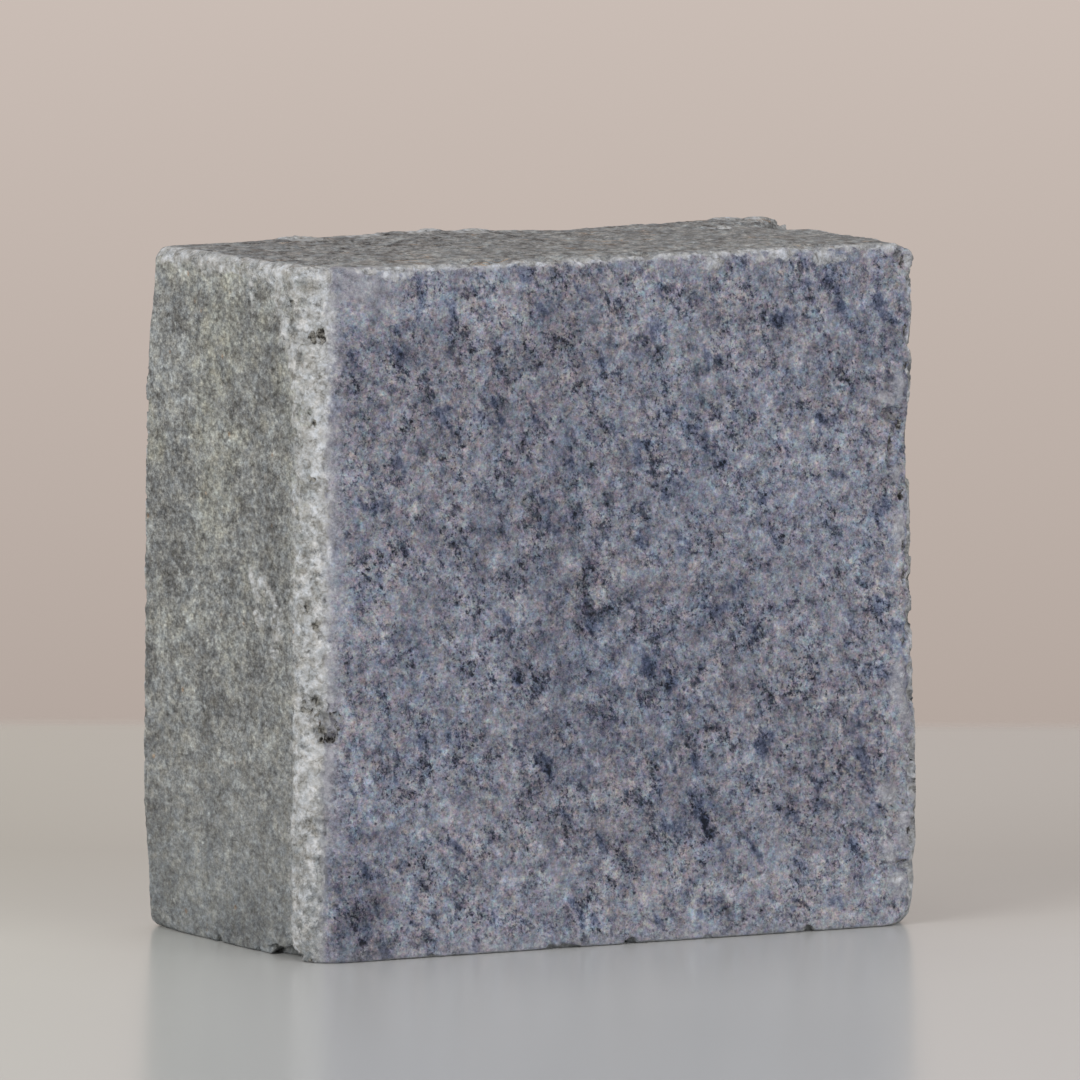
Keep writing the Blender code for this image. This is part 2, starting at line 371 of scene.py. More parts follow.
def strew_losses(points):
    draw = np.random.RandomState(4127)
    for number, ((first, second), start, end, count) in enumerate(EDGES):
        outward = unit(PLANES[first][1] + PLANES[second][1])
        for n in range(count):
            along = start + (end - start) * (n + draw.uniform(0.1, 0.9)) / count
            size = draw.uniform(0.35, 0.95)
            stretch = draw.uniform(0.9, 2.2)
            tilt = draw.uniform(-50, 50)
            size *= {"base": 0.6, "top": {"front": 0.7, "left": 0.22}.get(first, 0.5)}.get(second, 1.0)
            out = draw.uniform(-0.25, 0.2) * size
            run = np.cross(PLANES[first][1], PLANES[second][1])
            half = np.full(3, size)
            half[int(np.argmax(np.abs(run)))] *= stretch
            middle = edge_spot((first, -out + 0.1), (second, -out + 0.1), along)
            carve(points, middle, half, twist(tilt), -outward, 60 + 31 * number + n, 0.22)


# ----------------------------------------------------------------------------------------------
# Surface relief, and the masks that the material reads
# ----------------------------------------------------------------------------------------------

# Crumbs and flakes left standing: place, half sizes and height, in mm
LUMPS = (
    ((-38.3, -4.6, 72.3), (1.2, 0.8, 0.8), 0.35),
    ((-38.2, -4.9, 70.6), (1.2, 0.5, 1.6), 0.22),
    ((-38.1, -16.4, 14.4), (1.4, 2.4, 1.3), 0.50),
    ((-37.9, -16.0, 18.5), (1.2, 0.6, 3.2), 0.22),
    ((34.8, -17.6, 49.8), (0.8, 1.2, 0.9), 0.28),
    ((35.3, -17.3, 59.3), (1.0, 1.3, 1.5), 0.26),
    ((33.8, -17.4, 58.3), (1.4, 1.3, 0.7), 0.22),
    ((35.4, -17.5, 43.7), (0.9, 1.3, 2.4), 0.26),
    ((35.1, -17.6, 26.9), (1.1, 1.3, 2.2), 0.26),
    ((36.3, -17.6, 24.0), (0.9, 1.3, 2.0), 0.24),
    ((36.0, -17.8, 10.8), (0.9, 1.3, 3.0), 0.34),
    ((34.3, -17.8, 14.8), (1.5, 1.3, 1.3), 0.24),
    ((35.3, -17.8, 4.6), (1.2, 1.3, 1.5), 0.24),
    ((34.2, -17.8, 8.2), (1.0, 1.3, 1.4), 0.20),
    ((34.9, -17.4, 74.4), (1.3, 1.5, 0.8), 0.28),
    ((36.6, -17.3, 73.8), (0.9, 1.5, 1.3), 0.40),
    ((-26.9, -18.7, 74.0), (2.2, 1.4, 0.9), 0.22),
    ((11.9, -17.9, 73.8), (1.6, 1.4, 0.8), 0.24),
    ((18.2, -17.7, 74.3), (1.6, 1.4, 0.8), 0.22),
    ((21.0, -17.6, 74.8), (2.2, 1.4, 0.6), 0.25),
    ((26.3, -17.5, 73.9), (2.6, 1.4, 1.0), 0.30),
    ((26.5, 6.9, 75.3), (1.0, 0.9, 0.8), 0.35),
    ((-20.4, 17.6, 75.2), (3.0, 1.4, 1.3), 0.30),
    ((-12.9, 17.5, 75.3), (2.2, 1.3, 1.3), 0.28),
    ((-4.8, 17.3, 75.4), (1.6, 1.3, 1.3), 0.30),
    ((0.9, 17.2, 75.3), (1.9, 1.3, 1.3), 0.24),
    ((35.6, 16.2, 75.1), (1.8, 1.8, 1.6), 0.36),
    ((32.0, 16.4, 75.3), (2.4, 1.6, 1.2), 0.26),
)

# Rubbed whitish patches of the top: middle, reach and how white
RUBBED = (
    ((-21.0, 15.6), (2.6, 3.2), 0.80),
    ((-14.0, 15.8), (3.0, 3.0), 0.84),
    ((-6.8, 15.6), (2.0, 2.8), 0.80),
    ((-0.8, 15.2), (2.6, 2.8), 0.78),
    ((26.9, 8.1), (1.2, 1.2), 0.55),
    ((31.6, 8.6), (0.9, 1.1), 0.50),
    ((32.9, 13.3), (1.4, 1.4), 0.55),
)

# Crevices: place, half sizes and depth, in mm. The bottom of each is painted dark, partly as broken stone and partly
# as shade.
CREVICES = (
    ((33.8, -17.8, 56.7), (0.70, 1.4, 0.70), 0.40),
    ((34.6, -17.8, 56.3), (0.90, 1.4, 1.00), 0.55),
    ((35.4, -17.8, 55.3), (0.50, 1.4, 1.00), 0.40),
    ((34.3, -17.8, 52.8), (0.40, 1.4, 1.60), 0.45),
    ((35.5, -17.8, 47.5), (0.45, 1.4, 0.90), 0.40),
    ((35.8, -17.9, 42.0), (0.35, 1.4, 0.90), 0.38),
    ((36.1, -17.9, 38.6), (0.45, 1.4, 1.30), 0.30),
    ((36.2, -18.0, 31.5), (0.50, 1.4, 0.80), 0.26),
    ((35.8, -18.1, 13.9), (0.70, 1.4, 0.40), 0.38),
    ((34.3, -18.2, 12.1), (0.42, 1.4, 1.00), 0.48),
    ((36.6, -18.2, 10.6), (0.50, 1.4, 0.60), 0.38),
    ((36.0, -18.2, 7.0), (1.30, 1.4, 0.30), 0.34),
    ((36.2, -17.6, 65.6), (0.40, 1.4, 1.10), 0.30),
    ((36.3, -17.7, 61.8), (0.50, 1.4, 0.70), 0.28),
    ((35.7, -17.4, 73.0), (0.42, 1.5, 0.85), 0.55),
    ((-37.9, -19.3, 20.6), (0.35, 0.7, 0.8), 0.20),
    ((-33.7, -17.6, 25.7), (0.62, 1.2, 1.00), 0.36),
    ((-35.0, -17.9, 24.2), (1.00, 1.1, 0.42), 0.36),
    ((-34.6, -18.3, 26.9), (0.70, 0.9, 0.40), 0.26),
    ((-35.7, -17.6, 25.4), (0.44, 0.9, 0.60), 0.30),
    ((-35.5, -17.3, 67.9), (0.62, 0.70, 1.15), 0.42),
    ((-36.3, -16.5, 67.7), (0.56, 0.60, 0.90), 0.32),
    ((-36.5, -17.1, 58.4), (0.50, 0.55, 0.42), 0.32),
    ((-36.7, -16.8, 52.4), (0.85, 0.95, 0.46), 0.32),
    ((-36.9, -16.5, 38.7), (0.60, 0.70, 0.80), 0.26),
    ((-36.2, -17.2, 36.3), (0.60, 0.70, 0.90), 0.26),
    # this one lies under the flake above it; its dark paints the flake's shadow
    ((-38.1, -14.9, 12.6), (1.2, 1.1, 0.4), 0.30),
)


# The scar on the left end, as strokes in Y and Z with their widths
SCAR = (
    ((-5.0, 41.0), (-7.6, 40.2), 0.95),
    ((-5.4, 40.4), (-6.2, 38.6), 0.9),
    ((-7.6, 40.2), (-9.4, 38.2), 1.1),
    ((-9.4, 38.2), (-11.0, 35.6), 1.5),
    ((-11.0, 35.6), (-10.0, 33.0), 1.2),
    ((-6.0, 36.7), (-7.0, 36.0), 0.9),
)

# Broad areas a little paler or darker than the rest: middle, reach, and how much, out of 255
FRONT_AREAS = (
    ((-7.0, 48.0), (6.0, 22.0), -8),
    ((-8.0, 28.0), (5.0, 8.0), -7),
    ((-31.0, 45.0), (4.5, 16.0), 7),
    ((-26.0, 19.0), (7.0, 9.0), 11),
    ((-34.0, 4.5), (4.6, 5.6), -18),
    ((-33.8, 26.2), (1.2, 2.4), 16),
    ((21.0, 53.0), (7.0, 9.0), 12),
    ((28.0, 40.0), (7.0, 20.0), 8),
    ((10.4, 53.0), (2.6, 2.6), -18),
    ((9.6, 70.3), (2.4, 1.8), -14),
    ((-18.5, 52.0), (2.8, 3.0), 9),
    ((8.3, 38.5), (4.0, 5.0), 8),
    ((27.0, 20.0), (8.0, 6.0), -4),
    ((-16.0, 59.0), (3.0, 4.0), -5),
    ((31.0, 23.0), (2.0, 2.0), -5),
    ((34.0, 13.8), (2.4, 3.2), 22),
    ((-35.1, 73.1), (1.1, 1.6), -22),
    ((-33.2, 26.2), (1.6, 2.6), 18),
    ((33.6, 21.0), (1.8, 3.0), 16),
    ((34.6, 31.0), (2.2, 4.0), 18),
    ((35.6, 43.0), (1.6, 7.0), 10),
    ((35.3, 8.0), (2.4, 4.0), 8),
    ((12.7, 2.6), (3.0, 1.6), -12),
)
LEFT_AREAS = (
    ((12.5, 59.5), (2.4, 2.6), 24),
    ((10.0, 62.8), (3.6, 2.6), 12),
    ((3.6, 56.0), (2.4, 3.0), 13),
    ((16.8, 66.0), (1.6, 8.0), 20),
    ((-6.0, 60.5), (4.0, 4.0), -10),
    ((-5.0, 66.5), (4.0, 3.0), -8),
    ((8.0, 69.5), (3.0, 1.6), -6),
    ((2.0, 73.0), (16.0, 1.4), 16),
    ((13.0, 39.5), (3.5, 3.0), -9),
    ((3.5, 39.0), (2.5, 3.0), 8),
    ((2.5, 26.0), (4.0, 3.0), -13),
    ((-6.5, 18.3), (3.6, 2.6), -11),
    ((-12.0, 8.0), (3.0, 6.0), 5),
    ((-3.5, 2.0), (7.0, 3.2), -17),
    ((16.0, 3.0), (3.0, 3.0), -14),
    ((8.0, 4.0), (3.0, 3.0), 6),
)
TOP_AREAS = (
    ((-24.5, 15.8), (3.0, 2.6), -18),
    ((-19.9, 10.3), (4.2, 3.0), -14),
    ((-11.0, 15.0), (1.8, 3.0), -14),
    ((-31.5, 5.0), (2.0, 3.0), -10),
    ((-6.2, 13.0), (5.0, 2.6), -5),
    ((-14.1, -14.8), (4.5, 3.0), 6),
    ((-33.6, -8.3), (3.0, 2.0), 5),
    ((-2.0, -8.4), (6.0, 3.5), -4),
    ((23.0, -14.9), (4.0, 3.0), 4),
    ((-20.0, -14.0), (18.0, 3.0), 6),
    ((20.0, -13.0), (20.0, 4.0), 5),
)


def warp(points):
    """The slow waves of the sawn faces: the stone isn't flat to better than a few tenths."""
    x, y, z = points.T
    out = np.zeros_like(points)
    bulge = 0.62 * step(0, 14, z) * step(75, 60, z) * step(-8, 18, y) * step(-20, -38, x)
    out[:, 0] -= bulge
    crown = 0.40 * bump(x, -11, 19) * step(-4, 17, y) - 0.10 * bump(x, 14, 9) * step(8, 17, y)
    crown += 0.20 * bump(x, 30, 7) * step(6, 15, y)
    # the right end of the top is worn lower, with a ledge and a little cliff by the back corner
    ragged = 0.45 * layered(points * (1, 1, 0), 2.2, 21, 3)
    cliff = step(12.0, 11.0, y + ragged)
    crown -= (0.48 - 0.26 * step(0, -14, y)) * step(27, 36, x) * cliff
    crown -= 0.30 * step(33.0, 34.5, x + ragged) * cliff * step(7.0, 9.0, y + ragged)
    out[:, 2] += crown * step(60, 74, z)
    # low down, the front right edge stands a little further out
    out[:, 0] += 0.48 * step(32, 25, z) * step(34.5, 37.5, x) * step(-4, -14, y)
    return points + out


def relief(points, quads, depths):
    """Crumbles the edges and roughens the faces. Returns the points and the four masks."""
    sides = np.array([depths[n] for n in ("front", "back", "left", "right", "top", "base")])
    edge = np.sort(sides, axis=0)[1]  # how far the point is from the nearest sharp edge
    dl, df, dr, db, dt, dd = (depths[n] for n in ("left", "front", "right", "back", "top", "base"))
    near_left = np.maximum(dl, df)  # from the worn front left edge
    along_left = np.where(df < dl, dl, -df)  # signed: onto the front, or back onto the left end

    before = points.copy()
    break_out(points)
    strew_losses(points)
    lost = np.linalg.norm(points - before, axis=1)
    # the top of the front right edge is knocked round
    across, upward = (points[:, 0] - 32.8) / 4.2, (points[:, 2] - 73.0) / 2.7
    radius = np.hypot(across, upward)
    past = (across > 0) & (upward > 0) & (radius > 1)
    inset = np.where(past, 1 - 1 / np.maximum(radius, 1e-9), 0) * step(-8, -14, points[:, 1])
    points[:, 0] -= 4.2 * across * inset
    points[:, 2] -= 2.7 * upward * inset
    normal = point_normals(points, quads)

    rise = 0.060 * layered(points, 13.0, 2, 3) + 0.028 * layered(points, 1.9, 3, 3, 0.7)
    ripple = layered(points, 2.6, 4, 4, 0.6)

    # crumbled rim of every edge
    rim = step(1.9 + 0.7 * ripple, 0.1, edge) * (0.25 + 0.75 * step(0.6, 1.8, dd))
    f1, f2, mark = cells(points + 0.35 * np.stack([ripple] * 3, 1), 1.15, 5)
    crumb = step(0.25, 0.75, f2 - f1)
    hole = step(0.50, 0.12, f1) * (mark > 0.62)
    uneven = np.clip(0.75 + 0.6 * layered(points, 4.5, 33, 3, 0.6), 0.1, 1.3)
    quiet = 1 - 0.72 * step(3.0, 1.2, dt)  # the edges of the top are flaked more than crumbled
    smooth_lip = step(3.6, 2.2, dt) * step(3.6, 2.2, dl) * (df > 1.5)
    rise += rim * uneven * (1 - 0.85 * smooth_lip) * (quiet * (0.17 * crumb - 0.10 - 0.36 * hole) + 0.16 * layered(points, 1.0, 6, 3, 0.7))

    # the worn band of the front left edge
    ridge_at = -5.25 + 0.42 * layered(points * (0, 0, 1), 6.0, 7, 4, 0.6)
    ridge_at = ridge_at + 0.42 * layered(points, 2.1, 71, 3, 0.65)
    ridge_at = ridge_at - np.interp(points[:, 2], (60, 65.1, 71.1, 75), (0, 1.1, 4.3, 6.4))
    band = step(-0.35, 0.25, along_left - ridge_at) * step(3.2, 0.2, along_left)
    band = band * (near_left < 14)
    ridge = np.exp(-(((along_left - ridge_at - 0.4) / 0.55) ** 2)) * (df < 14) * (dl < 1.5)
    ridge = ridge * np.clip(0.75 + 0.6 * layered(points, 2.3, 51, 3, 0.7), 0.15, 1.2)
    lumps = layered(points * (1, 1, 0.62), 1.7, 8, 4, 0.62)
    swirl = np.stack([layered(points, 1.6, 90 + n, 3, 0.65) for n in range(3)], 1)
    g1, g2, gmark = cells(points * (1, 1, 0.55) + 0.42 * swirl, 1.7, 9)
    pocket = step(0.50, 0.16, g1) * (gmark > 0.80) * band
    pocket = pocket * step(1.6, 0.6, along_left) * step(ridge_at + 0.3, ridge_at + 1.3, along_left)
    rise += band * (0.17 * lumps) - 0.22 * pocket
    rise += 0.16 * ridge * (0.6 + 0.5 * ripple)
    # short upright flakes are broken off down the right hand edge
    torn = layered(points * (1, 1, 0.42), 1.25, 83, 4, 0.7)
    splinter = step(1.7 + 0.4 * ripple, 0.7, dr) * (df < 2.4) * (dt > 1) * (dd > 1)
    rise -= 0.26 * splinter * step(0.10, 0.34, torn)
    # low on the edge the crumbly strip stops at a ragged little ledge
    flaky = layered(points * (1, 1, 0.5), 1.3, 55, 4, 0.7)
    ledge = step(23.5, 19.5, points[:, 2] + 0.8 * ripple) * step(0.30, -0.25, along_left + 0.30 * flaky)
    ledge = ledge * band * step(1.0, 5.0, points[:, 2])
    rise += ledge * (0.14 + 0.13 * flaky)
    # a rounded bead hangs under the lip of the left end
    bead = step(2.3 + 0.6 * ripple, 1.0, dt) * step(1.6, 0.4, dl) * (df > 2)
    rise += 0.20 * bead * (1 + 0.5 * layered(points, 3.4, 37, 3, 0.6))

    tear = np.stack([layered(points, 0.85, 120 + n, 3, 0.7) for n in range(3)], 1)
    for place, half, height in LUMPS:
        q = np.linalg.norm((points + 0.36 * swirl + 0.24 * tear - np.array(place)) / np.array(half), axis=1)
        rise += height * np.where(q < 1, (1 - q * q) ** 0.8, 0)
    # each crevice bottom is marked here for painted shade
    crevice_painted_shade = np.zeros(len(points))
    for place, half, low in CREVICES:
        q = np.linalg.norm((points + 0.30 * swirl + 0.34 * tear - np.array(place)) / np.array(half), axis=1)
        inside = np.where(q < 1, 1 - q * q, 0)
        rise -= low * inside
        crevice_painted_shade = np.maximum(crevice_painted_shade, step(0.05, 0.55, inside) * min(1.0, low / 0.40))

    rise *= step(0.0, 0.5, points[:, 2] + 0.05) * 0.8 + 0.2
    points += normal * rise[:, None]
    points[:, 2] = np.maximum(points[:, 2], 0)

    # a flaky scar on the left end
    scar = np.full(len(points), 9.0)
    for (ya, za), (yb, zb), width in SCAR:
        way = np.array((yb - ya, zb - za))
        t = ((points[:, 1] - ya) * way[0] + (points[:, 2] - za) * way[1]) / max(way @ way, 1e-9)
        t = np.clip(t, 0, 1)
        off = np.hypot(points[:, 1] - ya - t * way[0], points[:, 2] - za - t * way[1]) / width
        scar = np.minimum(scar, off)
    scar = step(1.15, 0.55, scar + 0.35 * flaky + 0.22 * ripple) * (dl < 1.5)
    scar_flakes = step(-0.35, 0.25, layered(points, 1.1, 57, 3, 0.7))
    points += normal * (scar * (0.05 + 0.20 * scar_flakes + 0.06 * flaky))[:, None]

    # masks. The dark mask is partly the broken stone's own brown and partly painted shade in pockets, rim holes,
    # crevices, torn splinters and broken places
    brown_and_painted_shade = np.clip(0.42 * pocket + 0.45 * rim * hole, 0, 1)
    brown_and_painted_shade = np.maximum(brown_and_painted_shade, 0.9 * crevice_painted_shade)
    brown_and_painted_shade = np.maximum(brown_and_painted_shade, 0.42 * splinter * step(0.22, 0.46, torn))
    # inside each broken place the stone is painted darker, partly as its broken colour and partly as shade in the
    # hollow
    for number in [0, 1, 3, 4, 5, 6, 7, 11, 12, 13, 18, 29]:
        first, second, along, half, degrees = CHIPS[number]
        q = (points - edge_spot(first, second, along)) @ twist(degrees) / np.array(half)
        r = np.linalg.norm(q, axis=1)
        deep = step(1.25, 0.85, r) * step(0.05, 0.30, lost)
        amount = 0.64 if number == 0 else 0.62 if number in (1, 29) else 0.45 if number == 11 else 0.55
        brown_and_painted_shade = np.maximum(brown_and_painted_shade, amount * deep)
    white = 0.80 * rim * step(1.6, 0.2, edge) * (1 - 0.4 * step(0, 2.0, dd) * step(4.0, 2.0, dd))
    white *= 1 - step(3.0, 1.5, dt) * (df < 3) * np.clip(0.34 - 0.35 * uneven + 0.25 * (df > 0.9), 0, 0.6)
    white = np.maximum(white * step(0.2, 1.5, dd), 0.35 * white)
    # the band is whitest over the edge itself, from mid height up, and thin near the base
    full = np.interp(points[:, 2], (0, 3, 8, 13, 20, 30, 75), (0.35, 0.60, 0.90, 1.12, 1.10, 1.0, 1.0))
    mottle = layered(points * (1, 1, 0.6), 2.4, 61, 4, 0.65)
    start = np.maximum(ridge_at, -5.6 + 0.3 * mottle)  # above, the worn corner is only a little pale
    strength = 0.62 + 0.30 * step(start + 0.6, -1.6, along_left) + 0.36 * mottle
    reach = np.interp(points[:, 2], (0, 12, 20, 30, 56, 62, 70, 73), (-1.6, -1.6, -0.5, 1.0, 0.8, 1.6, 1.6, 0.5))
    plateau = step(-0.3, 0.3, along_left - start)
    frayed = 0.7 * mottle + 0.55 * layered(points, 1.2, 65, 3, 0.7)
    plateau = plateau * step(reach + 2.0, reach - 1.6, along_left + frayed)
    plateau = full * strength * plateau * (near_left < 9)
    faint = 0.52 * step(-0.25, 0.3, along_left - ridge_at) * (along_left < 0) * (df < 14) * (dl < 1.6)
    # a paler fringe runs on past the border
    fringe = 0.42 * step(ridge_at - 2.4, ridge_at + 0.4, along_left + 0.5 * mottle)
    faint = np.maximum(faint, fringe * (along_left < 0) * (df < 14) * (dl < 1.6))
    border = np.exp(-(((along_left - ridge_at - 1.1) / 1.15) ** 2)) * (df < 14) * (dl < 1.6)
    border = border * np.clip(0.80 + 0.35 * mottle, 0, 1)
    plateau = np.maximum(np.maximum(plateau, faint), np.maximum(0.65 * ridge, border))
    white = np.maximum(white * (near_left > 5), plateau)
    for place, half, height in LUMPS:
        q = np.linalg.norm((points + 0.40 * swirl + 0.30 * tear - np.array(place)) / (np.array(half) * 1.1), axis=1)
        amount = min(0.90, 0.42 + 1.2 * height) if place[0] < 33 or place[2] > 70 else 0.40
        white = np.maximum(white, amount * step(1.1, 0.6, q))
    white = np.maximum(white, scar * (0.42 + 0.36 * scar_flakes))
    white = white * (1 - brown_and_painted_shade)
    drawn = layered(points * (1, 0.45, 1), 2.2, 58, 3, 0.55)  # drawn out along the lip
    lip = (0.84 + 0.34 * drawn) * step(2.5 + 0.8 * drawn, 1.3, dt) * step(2.4, 1.0, dl) * (df > 2)
    lip = np.maximum(lip, 0.6 * step(1.8, 0.4, db + 0.4 * ripple) * step(1.2, 0.4, dl) * step(62, 67, points[:, 2]))
    white = np.maximum(white, lip * (1 - brown_and_painted_shade))
    for (xa, ya), (rx, ry), amount in RUBBED:
        q = np.hypot((points[:, 0] + 0.7 * swirl[:, 0] - xa) / rx, (points[:, 1] + 0.7 * swirl[:, 1] - ya) / ry)
        white = np.maximum(white, amount * step(1.15, 0.55, q) * (dt < 2) * (1 - brown_and_painted_shade))
    calm_end = 4.6 + 0.9 * layered(points, 2.4, 17, 4, 0.7)
    calm = step(calm_end, 0.2, along_left) * (along_left > 0) * (near_left < 9)
    calm = calm * step(8, 19, points[:, 2] + mottle)
    calm = calm * (1 - 0.6 * step(0.1, 0.5, layered(points, 1.4, 63, 4, 0.7)) * step(1.2, 2.4, along_left))
    corner = step(5.2, 1.8, dt + 1.2 * mottle) * step(-25, -31, points[:, 0] + 1.5 * mottle)
    corner = corner * (1 - 0.6 * np.exp(-(((points[:, 0] + 34.6) / 1.3) ** 2) - ((points[:, 2] - 73.0) / 1.6) ** 2))
    calm = np.maximum(calm, 0.85 * corner * (df < 2))
    calm = np.maximum(calm, 0.34 * step(2.2 + mottle, 0.3, dr) * (df < 2) * step(34, 24, points[:, 2]))
    calm = np.maximum(calm, 0.35 * step(1.9 + mottle, 0.3, edge) * (df < 2))
    for place, half, height in LUMPS:
        if place[0] > 33 and place[2] < 70:
            q = np.linalg.norm((points + 0.40 * swirl + 0.30 * tear - np.array(place)) / (np.array(half) * 1.25), axis=1)
            calm = np.maximum(calm, 0.85 * step(1.1, 0.5, q) * (1 - brown_and_painted_shade))
    # side: 0 picks the front and back colour, 1 the ends; the front and back's bluer cast is partly painted cool light
    side = np.where(
        np.minimum(df, db) < np.minimum(np.minimum(dl, dr), np.minimum(dt, dd)), 0.0, 1.0
    )
    side = np.where((df < 4) & (dl < 4), step(1.2, -1.2, along_left), side)

    # broad paler and darker areas
    x, y, z = points.T
    tone = np.zeros(len(points))
    on_front, on_left, on_top = (df < 2) & (dl > 1), (dl < 2) & (df > 1), dt < 1.2
    for where, a, b, areas in ((on_front, x, z, FRONT_AREAS), (on_left, y, z, LEFT_AREAS), (on_top, x, y, TOP_AREAS)):
        for (a0, b0), (ra, rb), amount in areas:
            far = ((a + 0.6 * mottle - a0) / ra) ** 2 + ((b + 0.6 * ripple - b0) / rb) ** 2
            tone += where * amount / 255 * np.exp(-far)
    # painted light: the front is paler along its low edge, away from the left corner, and just under its top
    painted_light_low_edge = step(13, 5, z + 0.6 * mottle) * step(-31, -25, x)
    tone += on_front * (15 * painted_light_low_edge + 8 * step(65, 71, z)) / 255
    return points, np.stack([white, brown_and_painted_shade, calm, side], 1), tone


# ----------------------------------------------------------------------------------------------
# Making the mesh
# ----------------------------------------------------------------------------------------------

MOST_TRIANGLES = 194000


def mesh_from(name, points, quads):
    mesh = bpy.data.meshes.new(name)
    mesh.vertices.add(len(points))
    mesh.vertices.foreach_set("co", (points * MM).astype(np.float32).ravel())
    mesh.loops.add(quads.size)
    mesh.loops.foreach_set("vertex_index", quads.astype(np.int32).ravel())
    mesh.polygons.add(len(quads))
    mesh.polygons.foreach_set("loop_start", np.arange(0, quads.size, 4, dtype=np.int32))
    mesh.update(calc_edges=True)
    mesh.validate()
    return mesh


def wrap(mesh):
    """Lays the six sides out flat, at one scale, in the UV layer named OFBake."""
    layer = mesh.uv_layers.new(name="OFBake")
    co = np.empty(len(mesh.vertices) * 3, np.float32)
    mesh.vertices.foreach_get("co", co)
    co = co.reshape(-1, 3) / MM
    corner = np.empty(len(mesh.loops), np.int32)
    mesh.loops.foreach_get("vertex_index", corner)
    face_of = np.repeat(np.arange(len(mesh.polygons)), 3)
    middle = co[corner].reshape(-1, 3, 3).mean(1)
    names = ("front", "back", "left", "right", "top", "base")
    nearest = np.argmin([depth(middle, n) for n in names], axis=0)[face_of]
    x, y, z = co[corner].T
    spots = np.array(
        [
            (x + 40, z + 1),
            (40 - x + 80, z + 1),
            (20.5 - y, z + 80),
            (y + 20.5 + 41, z + 80),
            (x + 40 + 82, y + 20.5 + 78),
            (x + 40 + 82, 20.5 - y + 119),
        ]
    )
    uv = spots[nearest, :, np.arange(len(corner))] / 162.0
    layer.data.foreach_set("uv", uv.astype(np.float32).ravel())


def make_stone():
    points, quads = block_grid()
    points, depths = rub_round(points)
    points = warp(points)
    points, masks, tone = relief(points, quads, depths)
    mesh = mesh_from("whetstone", points, quads)
    attribute = mesh.attributes.new("wear_and_painted_shade", "FLOAT_COLOR", "POINT")
    attribute.data.foreach_set("color", masks.astype(np.float32).ravel())
    attribute = mesh.attributes.new("tone", "FLOAT", "POINT")
    attribute.data.foreach_set("value", tone.astype(np.float32))
    stone = bpy.data.objects.new("whetstone", mesh)
    bpy.context.scene.collection.objects.link(stone)
    thin = stone.modifiers.new("thin out the flat parts", "DECIMATE")
    thin.ratio = MOST_TRIANGLES / (2 * len(quads))
    thin.use_collapse_triangulate = True
    bpy.context.view_layer.update()
    final = bpy.data.meshes.new_from_object(
        stone.evaluated_get(bpy.context.evaluated_depsgraph_get())
    )
    stone.modifiers.clear()
    stone.data = final
    bpy.data.meshes.remove(mesh)
    final.name = "whetstone"
    wrap(final)
    final.polygons.foreach_set("use_smooth", np.ones(len(final.polygons), bool))
    final.update()
    return stone


# ----------------------------------------------------------------------------------------------
# Material
# ----------------------------------------------------------------------------------------------


def linear(*srgb):
    """A surface colour that shows as the given 8-bit sRGB value in the studio light."""
    out = []
    for c in srgb:
        c = c / 255
        out.append(c / 12.92 if c <= 0.04045 else ((c + 0.055) / 1.055) ** 2.4)
    return out


class Graph:
    def __init__(self, tree):
        self.tree = tree

    def put(self, socket, value):
        if isinstance(value, bpy.types.NodeSocket):
            self.tree.links.new(value, socket)
        elif value is not None:
            socket.default_value = value

    def node(self, kind, **settings):
        node = self.tree.nodes.new(kind)
        for key, value in settings.items():
            setattr(node, key, value)
        return node

    def math(self, op, a, b=None, c=None, clamp=False):
        node = self.node("ShaderNodeMath", operation=op, use_clamp=clamp)
        for socket, value in zip(node.inputs, (a, b, c)):
            self.put(socket, value)
        return node.outputs[0]

    def vector(self, op, a, b=None):
        node = self.node("ShaderNodeVectorMath", operation=op)
        self.put(node.inputs[0], a)
        if op == "SCALE":
            self.put(node.inputs["Scale"], b)
        else:
            self.put(node.inputs[1], b)
        return node.outputs[0]

    def noise(self, at, scale, detail=0.0, rough=0.5, lacunarity=2.0, colour=False):
        node = self.node("ShaderNodeTexNoise")
        self.put(node.inputs["Vector"], at)
        node.inputs["Scale"].default_value = scale
        node.inputs["Detail"].default_value = detail
        node.inputs["Roughness"].default_value = rough
        node.inputs["Lacunarity"].default_value = lacunarity
        return node.outputs["Color" if colour else "Fac"]

    def cell(self, at, scale, smooth=False):
        node = self.node("ShaderNodeTexVoronoi")
        node.feature = "SMOOTH_F1" if smooth else "F1"
        self.put(node.inputs["Vector"], at)
        node.inputs["Scale"].default_value = scale
        return node.outputs["Distance"], node.outputs["Color"]

    def remap(self, value, a, b, c=0.0, d=1.0, smooth=False):
        node = self.node("ShaderNodeMapRange", clamp=True)
        if smooth:
            node.interpolation_type = "SMOOTHSTEP"
        self.put(node.inputs["Value"], value)
        for key, number in (("From Min", a), ("From Max", b), ("To Min", c), ("To Max", d)):
            self.put(node.inputs[key], number)
        return node.outputs["Result"]

    def ramp(self, value, stops):
        node = self.node("ShaderNodeValToRGB")
        elements = node.color_ramp.elements
        while len(elements) < len(stops):
            elements.new(0.5)
        for element, (place, colour) in zip(elements, stops):
            element.position = place
            element.color = (*colour, 1.0)
        self.put(node.inputs[0], value)
        return node.outputs[0]

    def mix(self, share, a, b):
        node = self.node("ShaderNodeMix", data_type="RGBA")
        self.put(node.inputs[0], share)
        self.put(node.inputs[6], a if isinstance(a, bpy.types.NodeSocket) else (*a, 1.0))
        self.put(node.inputs[7], b if isinstance(b, bpy.types.NodeSocket) else (*b, 1.0))
        return node.outputs[2]


LIGHT_ON_FRONT = 0.82  # light that falls on the front, over what a white sheet needs to show as white


